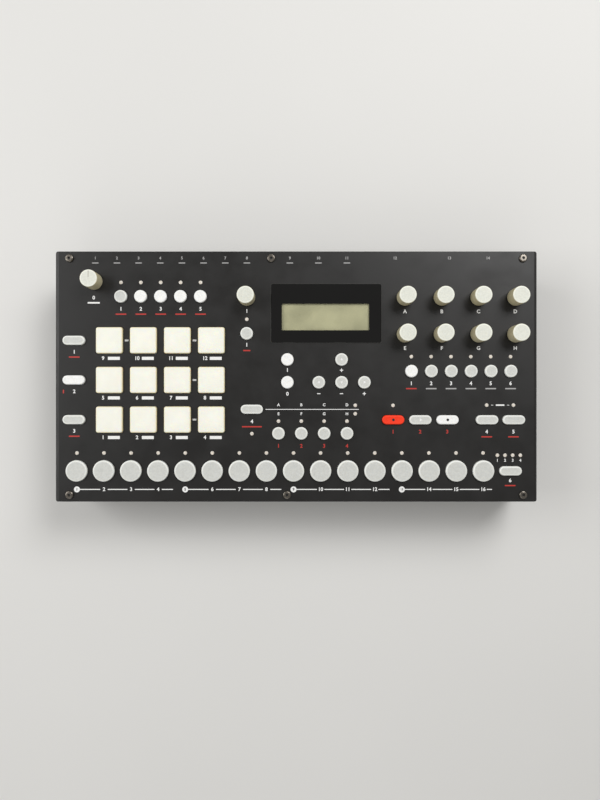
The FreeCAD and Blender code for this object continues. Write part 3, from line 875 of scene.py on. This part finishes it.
# Sub-assemblies
@dataclass(frozen=True)
class RoundPins:
    """Equal round pins with a domed end, such as lamps or contacts, made by Geometry Nodes.

    Its length is that of the straight part, below the dome.
    """

    name: str
    radius: float
    length: float
    dome: float
    slot: str
    finish: Finishes
    sides: int = 24

    def tree(self) -> bpy.types.NodeTree:
        """Builds the node tree: a shaft and a flattened ball on each point.

        Returns:
            The node tree.
        """
        tree = bpy.data.node_groups.new(self.name, "GeometryNodeTree")
        for name, kind in (("Points", "Geometry"), ("Radius", "Float"), ("Length", "Float"),
                           ("Sink", "Vector"), ("Squash", "Vector"), ("Turn", "Vector"),
                           ("Finish", "Material")):
            tree.interface.new_socket(name=name, in_out="INPUT", socket_type=f"NodeSocket{kind}")
        tree.interface.new_socket(name="Pins", in_out="OUTPUT", socket_type="NodeSocketGeometry")
        nodes = {key: tree.nodes.new(kind) for key, kind in (
            ("in", "NodeGroupInput"), ("out", "NodeGroupOutput"), ("shaft", "GeometryNodeMeshCylinder"),
            ("lower", "GeometryNodeTransform"), ("ball", "GeometryNodeMeshUVSphere"),
            ("flatten", "GeometryNodeTransform"), ("join", "GeometryNodeJoinGeometry"),
            ("place", "GeometryNodeInstanceOnPoints"), ("real", "GeometryNodeRealizeInstances"),
            ("coat", "GeometryNodeSetMaterial"))}
        nodes["shaft"].inputs["Vertices"].default_value = self.sides
        nodes["ball"].inputs["Segments"].default_value = self.sides
        nodes["ball"].inputs["Rings"].default_value = self.sides // 2
        for source, output, target, socket in (
            ("in", "Radius", "shaft", "Radius"), ("in", "Length", "shaft", "Depth"),
            ("shaft", "Mesh", "lower", "Geometry"), ("in", "Sink", "lower", "Translation"),
            ("in", "Radius", "ball", "Radius"), ("ball", "Mesh", "flatten", "Geometry"),
            ("in", "Squash", "flatten", "Scale"), ("lower", 0, "join", 0), ("flatten", 0, "join", 0),
            ("in", "Points", "place", "Points"), ("join", 0, "place", "Instance"),
            ("in", "Turn", "place", "Rotation"), ("place", 0, "real", 0), ("real", 0, "coat", "Geometry"),
            ("in", "Finish", "coat", "Material"), ("coat", 0, "out", 0),
        ):
            tree.links.new(nodes[source].outputs[output], nodes[target].inputs[socket])
        return tree

    def build(
        self, tips: list[Vector], turn: Vector, body: str, nodes: tuple[str, ...] = (),
    ) -> bpy.types.Object:
        """Sets a pin at each tip.

        Args:
            tips: Where each pin's dome starts.
            turn: Rotation from upright.
            body: The body that they move with.
            nodes: CAD nodes that they stand for.

        Returns:
            The piece.
        """
        points = bpy.data.meshes.new(self.name)
        points.from_pydata([tip * MM for tip in tips], [], [])
        holder = bpy.data.objects.new(self.name, points)
        bpy.context.scene.collection.objects.link(holder)
        modifier = holder.modifiers.new("pins", "NODES")
        modifier.node_group = self.tree()
        values = {"Radius": self.radius * MM, "Length": self.length * MM, "Turn": turn,
                  "Sink": Vector((0, 0, -self.length / 2)) * MM,
                  "Squash": Vector((1, 1, self.dome / self.radius)), "Finish": self.finish.material()}
        for item in modifier.node_group.interface.items_tree:
            if item.name in values and item.in_out == "INPUT":
                modifier[item.identifier] = values[item.name]
        ready = holder.evaluated_get(bpy.context.evaluated_depsgraph_get())
        data = bpy.data.meshes.new_from_object(ready)
        bpy.data.objects.remove(holder)
        data.shade_smooth()
        data.set_sharp_from_angle(angle=SHARP_EDGE)
        return mount(bpy.data.objects.new(self.name, data), body, self.slot, nodes)


@dataclass
class Case:
    """Folded top panel, case, feet, screws and the boards inside."""

    frame: Frame
    socket_floor: float = 49.62
    socket_thickness: float = 0.02
    socket: Outline = circle(0.95, 2)

    def build(self) -> None:
        """Dresses the case's CAD nodes, and paints shade on the floors of the screws' sockets."""
        finishes = {
            "top_panel": Finishes.PANEL, "bottom_case": Finishes.CASE, "rear_panel": Finishes.CASE,
            "rubber_feet": Finishes.FOOT, "screws_and_nuts": Finishes.STEEL,
            "control_board": Finishes.BOARD, "main_board": Finishes.BOARD,
            "key_switches_and_pad_sensors": Finishes.SWITCH, "encoder_bodies": Finishes.ENCODER,
            "display_module": Finishes.SWITCH, "audio_jacks": Finishes.JACK,
            "midi_sockets": Finishes.SOCKET, "usb_socket": Finishes.USB, "power_inlet": Finishes.SOCKET,
            "power_switch_housing": Finishes.SWITCH_FRAME, "power_rocker": Finishes.SWITCH_FRAME,
        }
        self.frame.dress(finishes)
        # Dark discs at the sockets' floors are painted shade.
        sockets = Marks("screw_socket_shade", self.socket_floor, self.socket_thickness)
        for box in self.frame.solids("screws_and_nuts"):
            if box.high.z > PANEL_TOP:
                sockets.plate(box.centre.x, box.centre.y, self.socket)
        sockets.finish(Finishes.PRINT_DARK, slot="screw_steel")


@dataclass
class NumberedKeys:
    """Keys of one shape, each with a node and a body of its own."""

    frame: Frame
    node: str
    piece: str
    count: int
    cap: Cap
    finish: Finishes
    slot: str

    def build(self) -> None:
        """Builds the keys."""
        for number in range(1, self.count + 1):
            node = f"{self.node}_{number}"
            centre = self.frame.box(node).centre
            sculpt = Sculpt(f"{self.piece}_{number}")
            self.cap.add_to(sculpt, centre.x, centre.y)
            sculpt.finish(self.finish, node, self.slot, (node,))


@dataclass
class StepKeys(NumberedKeys):
    """The row of sixteen large round keys."""

    node: str = "step_key"
    piece: str = "step_key_cap"
    count: int = 16
    cap: Cap = Cap(circle(7.4, 14), 51.2, edge_round=0.85, edge_fall=0.5, hollow=0.16)
    finish: Finishes = Finishes.GREY
    slot: str = "key_grey"


@dataclass
class DrumPads(NumberedKeys):
    """The twelve square silicone pads."""

    node: str = "drum_pad"
    piece: str = "drum_pad_face"
    count: int = 12
    cap: Cap = Cap(Outline(18.7, 18.4, 1.5, 6), 50.8, stem=Outline(12.0, 12.0, 0.5, 2), edge_round=0.7,
                   soft=True, hollow=-0.18, flange_low=45.2, stem_low=41.0)
    finish: Finishes = Finishes.SILICONE
    slot: str = "pad_silicone"


@dataclass
class KeyGroups:
    """Small round keys and pill shaped keys, each group on one body, with the marks on their faces."""

    frame: Frame
    small: Cap = Cap(circle(4.35, 12), 51.0, edge_round=0.55, hollow=0.1)
    pill: Cap = Cap(Outline(15.5, 6.3, 3.15, 10), 51.0, edge_round=0.55, hollow=0.08)
    dot_radius: float = 0.95
    tip_reach: float = 1.3
    arrow_reach: float = 1.1

    def group(self, node: str, cap: Cap, finishes: str) -> list[Spot]:
        """Builds one group.

        Args:
            node: The group's CAD node and body.
            cap: Its keys' shape.
            finishes: A letter for each key: g grey, w white, r red.

        Returns:
            The keys' places.
        """
        letters = {"g": Finishes.GREY, "w": Finishes.WHITE, "r": Finishes.RED}
        spots = self.frame.spots(node)
        for letter in sorted(set(finishes)):
            sculpt = Sculpt(f"{node}_{letters[letter].name.lower()}")
            for spot, own in zip(spots, finishes):
                if own == letter:
                    cap.add_to(sculpt, *spot)
            sculpt.finish(letters[letter], node, "key_grey", (node,))
        return spots

    def build(self) -> None:
        """Builds all groups and their marks."""
        self.group("mode_and_page_keys", self.small, "gwwwwwggggg")
        _, _, up, _, left, down, right, *_ = self.group("edit_keys", self.small, "gwgwggggggg")
        self.group("left_pill_keys", self.pill, "gwgg")
        red, grey, white, *_ = self.group("right_pill_keys", self.pill, "rgwggg")
        level = self.pill.top - self.pill.hollow
        dots = Marks("transport_marks_dark", level)
        for spot in (red, white):
            dots.disc(*spot, self.dot_radius)
        dots.finish(Finishes.PRINT_DARK, "right_pill_keys", "key_grey")
        tip = Marks("transport_marks_white", level)
        tip.triangle(*grey, 0.0, self.tip_reach)
        tip.finish(Finishes.PRINT_WHITE, "right_pill_keys", "key_grey")
        arrows = Marks("arrow_marks", self.small.top - self.small.hollow)
        for spot, turn in ((up, 90.0), (left, 180.0), (down, 270.0), (right, 0.0)):
            arrows.triangle(*spot, turn, self.arrow_reach)
        arrows.finish(Finishes.PRINT_WHITE, "edit_keys", "key_grey")


@dataclass
class Knobs:
    """Turned knobs on their shafts, with a line on the one whose turn has ends."""

    frame: Frame
    radius: float = 5.95
    low: float = 49.8
    top: float = 63.0
    dish: float = 0.06
    edge_round: float = 0.6
    edge_clear: float = 1.6
    foot_round: float = 0.25
    cavity_radius: float = 4.4
    cavity_top: float = 52.0
    cavity_middle: float = 0.3
    shaft_radius: float = 3.0
    shaft_low: float = 38.5
    shaft_seat: float = 0.2
    line_width: float = 0.8
    line_level: float = 62.95
    line_thickness: float = 0.06
    face_shares: ClassVar[tuple[float, ...]] = (0.08, 0.4, 0.75, 0.97)

    def profile(self) -> Profile:
        """Lays out the cap's section.

        Returns:
            Insets and heights, from the middle of its hollow underside to the middle of its top.
        """
        wall = self.radius - self.cavity_radius
        underside = [(self.radius - self.cavity_middle, self.cavity_top), (wall, self.cavity_top),
                     (wall, self.low), (self.foot_round, self.low), (0.0, self.low + self.foot_round)]
        face = [(self.edge_round + share * (self.radius - self.edge_round), self.top - self.dish * share)
                for share in self.face_shares]
        side = (0.0, self.top - self.edge_clear)
        return [*underside, side, *arc_profile(self.top, self.edge_round), *face]

    def build(self) -> None:
        """Builds the knobs and their shafts."""
        names = ["volume_knob", "level_knob"] + [f"data_knob_{number}" for number in range(1, 9)]
        for node in names:
            centre = self.frame.box(node).centre
            spot = upright(centre.x, centre.y)
            cap = Sculpt(f"{node}_cap")
            cap.loft(spot, circle(self.radius, 16), self.profile())
            cap.finish(Finishes.IVORY, node, "knob_ivory", (node,))
            shaft = Sculpt(f"{node}_shaft")
            shaft_top = self.cavity_top + self.shaft_seat
            shaft.loft(spot, circle(self.shaft_radius, 6), [(0.0, self.shaft_low), (0.0, shaft_top)])
            shaft.finish(Finishes.SHAFT, node, "encoder_metal")
        centre = self.frame.box("volume_knob").centre
        # The index line is painted shade of a moulded groove in the knob's top.
        line = Marks("volume_knob_index", self.line_level, self.line_thickness)
        line.bar(centre.x, centre.y + self.radius / 2, self.line_width, self.radius - 2 * self.line_width)
        line.finish(Finishes.INDEX, "volume_knob", "knob_ivory")


@dataclass
class Lamps:
    """The light pipes beside the keys."""

    frame: Frame
    pins: RoundPins = RoundPins("lamp_lens_domes", 1.3, 11.5, 0.3, "lamp_lens", Finishes.LENS)

    def build(self) -> None:
        """Builds the lamps."""
        tips = [Vector((x, y, PANEL_TOP)) for x, y in self.frame.spots("lamp_lenses")]
        self.pins.build(tips, Vector((0, 0, 0)), "case", ("lamp_lenses",))


@dataclass
class Display:
    """Gloss window with the liquid crystal glass behind its clear part."""

    frame: Frame
    glass: Outline = Outline(61.3, 18.7, 0.6, 4)
    corner: float = 1.2
    fit: float = 0.02
    gasket_width: float = 0.5
    gasket_height: float = 0.3
    gasket_bevel: float = 0.1
    pane_sink: float = 0.01
    glass_low: float = 48.22
    glass_high: float = 48.32
    glass_reach: float = 1.0

    def build(self) -> None:
        """Builds window, painted edge highlight, pane and glass."""
        box = self.frame.box("display_window")
        module = self.frame.box("display_module").centre
        low, high = box.low.z, box.high.z
        rim = Outline(box.high.x - box.low.x, box.high.y - box.low.y, self.corner, 4)
        around = upright(box.centre.x, box.centre.y)
        middle = upright(module.x, module.y)
        border = Sculpt("display_window_border")
        border.surround((around, rim), (middle, self.glass), low, high)
        border.finish(Finishes.PANE_BLACK, "case", "window_acrylic", ("display_window",))
        # A pale ring round the window is a painted highlight on the window's edge.
        window_highlight = Sculpt("display_window_gasket")
        window_highlight.surround((around, rim.grown(self.gasket_width)), (around, rim.grown(self.fit)), low,
                        low + self.gasket_height, self.gasket_bevel)
        window_highlight.finish(Finishes.GASKET, "case", "window_acrylic")
        pane = Sculpt("display_window_pane")
        pane.loft(middle, self.glass, [(self.fit, low), (self.fit, high - self.pane_sink)])
        pane.finish(Finishes.PANE_CLEAR, "case", "window_acrylic", ("display_window",))
        glass = Sculpt("display_glass_face")
        behind = self.glass.grown(self.glass_reach)
        glass.loft(middle, behind, [(0.0, self.glass_low), (0.0, self.glass_high)])
        glass.finish(Finishes.LCD, "case", "display_glass")


# Printing
class Marks:
    """Thin printed shapes of one ink."""

    digit_share: ClassVar[float] = 0.7
    boldness: ClassVar[float] = 0.03

    def __init__(self, name: str, level: float = PANEL_TOP, thickness: float = PRINT_THICKNESS) -> None:
        """Starts a print.

        Args:
            name: The piece's name.
            level: Height of the surface that it lies on.
            thickness: Its thickness.
        """
        self.sculpt = Sculpt(name)
        self.low = level
        self.high = level + thickness

    def plate(self, x: float, y: float, outline: Outline) -> None:
        """Adds a flat shape."""
        self.sculpt.loft(upright(x, y), outline, [(0.0, self.low), (0.0, self.high)])

    def bar(self, x: float, y: float, length: float, width: float) -> None:
        """Adds a bar with its middle at a place."""
        self.plate(x, y, Outline(length, width, 0.1, 1))

    def disc(self, x: float, y: float, radius: float) -> None:
        """Adds a disc."""
        self.plate(x, y, circle(radius))

    def triangle(self, x: float, y: float, turn: float, reach: float) -> None:
        """Adds a triangle.

        Args:
            x: Its place to the right.
            y: Its place to the rear.
            turn: Direction of its tip, in degrees from the right.
            reach: Distance from its middle to a corner.
        """
        mesh = self.sculpt.mesh
        corners = [math.radians(turn + corner) for corner in (0, 120, 240)]
        rings = [[mesh.verts.new(Vector((x + reach * math.cos(a), y + reach * math.sin(a), height)) * MM)
                  for a in corners] for height in (self.low, self.high)]
        self.sculpt.bridge(*rings)
        mesh.faces.new(rings[0][::-1])
        mesh.faces.new(rings[1])

    def text(self, words: str, x: float, y: float, height: float) -> None:
        """Adds lettering with its middle at a place.

        Args:
            words: What it says.
            x: Its place to the right.
            y: Its place to the rear.
            height: Height of its digits.
        """
        curve = bpy.data.curves.new("lettering", "FONT")
        curve.body = words
        curve.size = height / self.digit_share
        curve.align_x = "CENTER"
        curve.align_y = "CENTER"
        curve.extrude = (self.high - self.low) / 2
        curve.offset = self.boldness * curve.size
        curve.resolution_u = 3
        holder = bpy.data.objects.new("lettering", curve)
        flat = bpy.data.meshes.new_from_object(holder)
        flat.transform(Matrix.Scale(MM, 4) @ Matrix.Translation((x, y, (self.low + self.high) / 2)))
        self.sculpt.mesh.from_mesh(flat)
        bpy.data.objects.remove(holder)
        bpy.data.curves.remove(curve)
        bpy.data.meshes.remove(flat)

    def finish(self, finish: Finishes, body: str = "case", slot: str = "panel_paint") -> bpy.types.Object:
        """Turns the print into a piece that rides on its body."""
        return self.sculpt.finish(finish, body, slot)


@dataclass(frozen=True)
class Caption:
    """The print in front of a control: a number, letter or sign, and a bar for its second line."""

    words: str
    drop: float
    ink: Finishes = Finishes.PRINT_WHITE
    bar_drop: float = 0.0
    bar_length: float = 7.5
    bar_ink: Finishes = Finishes.PRINT_RED


@dataclass(frozen=True)
class Bar:
    """A printed bar: how far to the right and to the rear of a place, and its size."""

    right: float
    rear: float
    length: float
    width: float


SIGNS = {
    "-": [Bar(0.0, 0.0, 2.3, 0.6)],
    "+": [Bar(0.0, 0.0, 0.6, 2.3), Bar(-0.725, 0.0, 0.85, 0.6), Bar(0.725, 0.0, 0.85, 0.6)],
}
CAPTIONS = {
    "mode_and_page_keys": [
        *[Caption(str(number), 8.8, bar_drop=12.4) for number in range(1, 6)],
        Caption("1", 8.7, bar_drop=12.3),
        *[Caption(str(number), 8.7, bar_drop=12.3, bar_ink=Finishes.PRINT_GREY) for number in range(2, 7)]],
    "edit_keys": [
        Caption("1", 8.1, bar_drop=12.0, bar_length=5.0), Caption("1", 7.5), Caption("+", 7.5),
        Caption("0", 8.2), Caption("-", 8.0), Caption("-", 8.0), Caption("+", 8.0),
        *[Caption(str(number), 9.0, Finishes.PRINT_RED) for number in range(1, 5)]],
    "left_pill_keys": [
        Caption("1", 8.1, bar_drop=11.7), Caption("2", 8.1),
        Caption("4", 8.7, bar_drop=12.3, bar_length=14.0), Caption("3", 8.1, bar_drop=11.7)],
    "right_pill_keys": [
        *[Caption(str(number), 8.5, Finishes.PRINT_RED) for number in range(1, 4)],
        Caption("4", 8.5, bar_drop=12.0), Caption("5", 8.5, bar_drop=12.0),
        Caption("6", 6.9, bar_drop=10.4)],
    "level_knob": [Caption("1", 9.6)],
    **{f"data_knob_{number}": [Caption(letter, 9.9)] for number, letter in enumerate("ABCDEFGH", 1)},
}


@dataclass
class PanelPrint:
    """The generic numbers, bars and lines printed on the top panel."""

    frame: Frame
    digit: float = 2.5
    small_digit: float = 1.9
    second_line: float = 0.9
    rear_digits_y: float = 83.3
    rear_bar: Bar = Bar(0.0, 79.9, 4.6, 0.7)
    side_tick: Bar = Bar(-7.6, -8.1, 0.8, 2.6)
    volume_bar: Bar = Bar(-0.5, -14.9, 8.5, 1.1)
    volume_drop: float = 11.4
    lamp_bars: tuple[Bar, ...] = (
        Bar(0.0, 10.3, 6.0, 1.0), Bar(-5.6, 10.3, 1.6, 0.35), Bar(5.6, 10.3, 1.6, 0.35))
    bank_rows: Span = (-20.0, -26.3)
    bank_line: Bar = Bar(-0.4, -23.1, 17.5, 0.45)
    step_line_y: float = -79.4
    step_stroke: float = 0.65
    step_gap: float = 2.6
    row_end: float = 10.4
    last_end: float = 6.3
    badge_radius: float = 2.1
    badge_digit: float = 1.8
    badge_digits: float = 1.5
    page_reach: Span = (7.0, -45.0)
    page_drop: float = 3.6
    pad_bar: Bar = Bar(3.0, -12.6, 8.4, 2.2)
    pad_digit_shift: float = -4.6
    link_bars: tuple[Bar, ...] = tuple(Bar(right, 0.0, 0.5, 1.3) for right in (-0.9, 0.0, 0.9))

    def __post_init__(self) -> None:
        """Starts the four prints."""
        self.white = Marks("panel_print_white")
        self.red = Marks("panel_print_red")
        self.grey = Marks("panel_print_grey")
        self.dark = Marks("panel_print_dark", PANEL_TOP + PRINT_THICKNESS)
        self.inks = {Finishes.PRINT_WHITE: self.white, Finishes.PRINT_RED: self.red,
                     Finishes.PRINT_GREY: self.grey, Finishes.PRINT_DARK: self.dark}

    def bars(self, ink: Marks, x: float, y: float, *bars: Bar) -> None:
        """Prints bars beside a place."""
        for bar in bars:
            ink.bar(x + bar.right, y + bar.rear, bar.length, bar.width)

    def controls(self) -> None:
        """Prints the captions of keys and knobs."""
        for node, captions in CAPTIONS.items():
            centre = self.frame.box(node).centre
            spots = self.frame.spots(node) if len(captions) > 1 else [(centre.x, centre.y)]
            for (x, y), caption in zip(spots, captions):
                if caption.words in SIGNS:
                    self.bars(self.white, x, y - caption.drop, *SIGNS[caption.words])
                else:
                    self.inks[caption.ink].text(caption.words, x, y - caption.drop, self.digit)
                if caption.bar_drop:
                    line_y = y - caption.bar_drop
                    self.inks[caption.bar_ink].bar(x, line_y, caption.bar_length, self.second_line)

    def rear_labels(self) -> None:
        """Numbers the rear sockets at the panel's rear edge, with a bar where a label has two lines."""
        double = [x for node in ("audio_jacks", "midi_sockets") for x, _ in self.frame.spots(node)]
        single = [self.frame.box(node).centre.x
                  for node in ("usb_socket", "power_inlet", "power_switch_housing")]
        for number, x in enumerate(double + single, 1):
            self.grey.text(str(number), x, self.rear_digits_y, self.small_digit)
        for x in double:
            self.bars(self.grey, x, 0.0, self.rear_bar)

    def single_marks(self) -> None:
        """Prints what only one control has: a tick, the volume's label, and the bars between two lamps."""
        self.bars(self.red, *self.frame.spots("left_pill_keys")[1], self.side_tick)
        volume = self.frame.box("volume_knob").centre
        self.white.text("0", volume.x + self.volume_bar.right, volume.y - self.volume_drop, self.digit)
        self.bars(self.white, volume.x, volume.y, self.volume_bar)
        *_, left, right, _ = self.frame.spots("right_pill_keys")
        self.bars(self.white, (left[0] + right[0]) / 2, left[1], *self.lamp_bars)

    def bank_table(self) -> None:
        """Prints the letters over and under the thin line."""
        xs = [x for x, _ in self.frame.spots("edit_keys")[7:]]
        for letters, y in zip(("ABCD", "EFGH"), self.bank_rows):
            for letter, x in zip(letters, xs):
                self.white.text(letter, x, y, self.small_digit)
        line = self.bank_line
        middle = (xs[0] + xs[-1]) / 2
        self.white.bar(middle + line.right, line.rear, xs[-1] - xs[0] + line.length, line.width)

    def step_numbers(self) -> None:
        """Prints the numbered line in front of the step keys, and numbers the page lamps."""
        xs = [self.frame.box(f"step_key_{number}").centre.x for number in range(1, 17)]
        for number, x in enumerate(xs, 1):
            strong = number % 4 == 1
            if strong:
                self.white.disc(x, self.step_line_y, self.badge_radius)
                height = self.badge_digit if number < 10 else self.badge_digits
                self.dark.text(str(number), x, self.step_line_y, height)
            else:
                self.white.text(str(number), x, self.step_line_y, self.digit)
            start = x + (self.badge_radius if strong else self.step_gap)
            if number % 4:
                end = xs[number] - self.step_gap
            else:
                end = x + (self.row_end if number < len(xs) else self.last_end)
            self.white.bar((start + end) / 2, self.step_line_y, end - start, self.step_stroke)
        beyond, front = self.page_reach
        page = [(x, y) for x, y in self.frame.spots("lamp_lenses") if x > xs[-1] + beyond and y < front]
        for number, (x, y) in enumerate(sorted(page), 1):
            self.white.text(str(number), x, y - self.page_drop, self.small_digit)

    def pad_strips(self) -> None:
        """Prints a number and a white bar under each pad, and the link marks between pads."""
        centres = [self.frame.box(f"drum_pad_{number}").centre for number in range(1, 13)]
        for centre, number in zip(centres, (9, 10, 11, 12, 5, 6, 7, 8, 1, 2, 3, 4)):
            self.bars(self.white, centre.x, centre.y, self.pad_bar)
            digits_y = centre.y + self.pad_bar.rear
            self.white.text(str(number), centre.x + self.pad_digit_shift, digits_y, self.digit)
        for left in (0, 2, 6, 10):
            x = (centres[left].x + centres[left + 1].x) / 2
            self.bars(self.white, x, centres[left].y, *self.link_bars)

    def build(self) -> None:
        """Prints everything."""
        for part in (self.rear_labels, self.controls, self.single_marks, self.bank_table, self.step_numbers,
                     self.pad_strips):
            part()
        for ink, marks in self.inks.items():
            marks.finish(ink)


@dataclass
class RearSockets:
    """Contacts inside the rear sockets."""

    frame: Frame
    din_pins: RoundPins = RoundPins("midi_contacts", 0.7, 5.0, 0.5, "usb_shell", Finishes.BRASS, sides=12)
    din_tip: float = 77.5
    din_axis: float = 21.1
    din_circle: float = 3.6
    din_angles: tuple[int, ...] = (180, 225, 270, 315, 360)
    inlet_pin: RoundPins = RoundPins("inlet_pin", 1.0, 8.0, 0.7, "usb_shell", Finishes.BRASS, sides=16)
    inlet_tip: float = 78.3
    inlet_axis: float = 17.1

    def build(self) -> None:
        """Builds the contacts."""
        rearward = Vector((-math.pi / 2, 0, 0))
        tips = [Vector((x + self.din_circle * math.cos(angle), self.din_tip,
                        self.din_axis + self.din_circle * math.sin(angle)))
                for x, _ in self.frame.spots("midi_sockets")
                for angle in map(math.radians, self.din_angles)]
        self.din_pins.build(tips, rearward, "case")
        centre = self.frame.box("power_inlet").centre
        self.inlet_pin.build([Vector((centre.x, self.inlet_tip, self.inlet_axis))], rearward, "case")


@dataclass
class RockerMarks:
    """The line and the circle on the power rocker."""

    frame: Frame
    pivot_y: float = 79.2
    face: float = 4.3
    reach: float = 4.4
    tilt: float = -9.0
    radius: float = 1.5
    stroke: float = 0.45
    corner: float = 0.1
    bevel: float = 0.01

    def build(self) -> None:
        """Builds the marks."""
        housing = self.frame.box("power_switch_housing").centre
        tilted = Matrix.Rotation(math.radians(self.tilt - 90), 4, "X")
        pivot = Matrix.Translation((housing.x, self.pivot_y, housing.z)) @ tilted
        high = self.face + PRINT_THICKNESS
        marks = Sculpt("rocker_marks")
        line = pivot @ Matrix.Translation((0, -self.reach, 0))
        bar = Outline(self.stroke, 2 * self.radius, self.corner, 1)
        marks.loft(line, bar, [(0.0, self.face), (0.0, high)])
        ring = pivot @ Matrix.Translation((0, self.reach, 0))
        inner = circle(self.radius - self.stroke)
        marks.surround((ring, circle(self.radius)), (ring, inner), self.face, high, self.bevel)
        marks.finish(Finishes.PRINT_WHITE, "power_rocker", "switch_frame")


# Studio
@dataclass(frozen=True)
class Softbox:
    """A soft square light that looks at the object. Places and sizes are in metres, the power in watts."""

    name: str
    place: Triple
    size: float
    power: float

    def build(self) -> None:
        """Adds the light to the scene."""
        data = bpy.data.lights.new(self.name, "AREA")
        data.shape = "SQUARE"
        data.size = self.size
        data.energy = self.power
        lamp = bpy.data.objects.new(self.name, data)
        lamp.location = self.place
        lamp.rotation_euler = (-lamp.location).to_track_quat("-Z", "Y").to_euler()
        bpy.context.scene.collection.objects.link(lamp)


@dataclass
class Studio:
    """Floor, lights, surroundings and the camera. The floor's reach and level are in metres."""

    camera_place: Triple = (2.64, -16.5, 519.0)
    lens: float = 30.06
    sensor: float = 36.0
    floor_tone: Tone = Tone(222, 221, 218)
    floor_mottle: Span = (0.01, 300.0)
    floor_roughness: Span = (0.77, 0.83)
    floor_spots: float = 200.0
    floor_reach: float = 3.0
    floor_level: float = -0.0001
    world_colour: Colour = (1.0, 0.99, 0.97, 1.0)
    world_strength: float = 0.32
    lights: tuple[Softbox, ...] = (
        Softbox("key_light", (0.5, 0.62, 0.95), 0.6, 8.4),
        Softbox("fill_light", (-0.95, 0.2, 0.8), 0.8, 6.8),
        Softbox("front_light", (-0.15, -1.0, 0.75), 0.8, 1.6),
    )

    def floor(self) -> None:
        """Lays the pale floor, just under the feet."""
        painter = Painter("floor_card")
        spots = painter.noise(self.floor_spots, Finish.sheen_detail)
        painter.set({"Base Color": painter.mottle(self.floor_tone, *self.floor_mottle),
                     "Roughness": painter.spread(spots, Finish.sheen_window, self.floor_roughness)})
        data = bpy.data.meshes.new("floor")
        corners = [(x * self.floor_reach, y * self.floor_reach, self.floor_level)
                   for x, y in ((-1, -1), (1, -1), (1, 1), (-1, 1))]
        data.from_pydata(corners, [], [(0, 1, 2, 3)])
        data.materials.append(painter.material)
        floor = bpy.data.objects.new("floor", data)
        bpy.context.scene.collection.objects.link(floor)
        floor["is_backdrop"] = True

    def surroundings(self) -> None:
        """Sets a pale world that gives a plain fill light."""
        world = bpy.data.worlds.new("studio")
        world.use_nodes = True
        background = world.node_tree.nodes["Background"]
        background.inputs["Color"].default_value = self.world_colour
        background.inputs["Strength"].default_value = self.world_strength
        bpy.context.scene.world = world

    def camera(self) -> None:
        """Sets the camera straight above the panel, as the photograph looks at it."""
        data = bpy.data.cameras.new("camera")
        data.sensor_fit = "VERTICAL"
        data.sensor_height = self.sensor
        data.sensor_width = self.sensor
        data.lens = self.lens
        camera = bpy.data.objects.new("camera", data)
        camera.location = Vector(self.camera_place) * MM
        bpy.context.scene.collection.objects.link(camera)
        bpy.context.scene.camera = camera

    def build(self) -> None:
        """Sets the studio up."""
        self.floor()
        self.surroundings()
        for light in self.lights:
            light.build()
        self.camera()
        bpy.context.scene.view_settings.view_transform = "Standard"


def main() -> None:
    """Builds the drum machine's looks piece by piece."""
    logging.basicConfig(level=logging.INFO, format="%(message)s")
    frame = Frame()
    parts = (Case(frame), StepKeys(frame), KeyGroups(frame), DrumPads(frame), Knobs(frame), Lamps(frame),
             Display(frame), PanelPrint(frame), RearSockets(frame), RockerMarks(frame), Studio())
    for part in parts:
        part.build()
        LOG.info("%s is in place", type(part).__name__)
    frame.write_sizes()


if __name__ == "__main__":
    main()
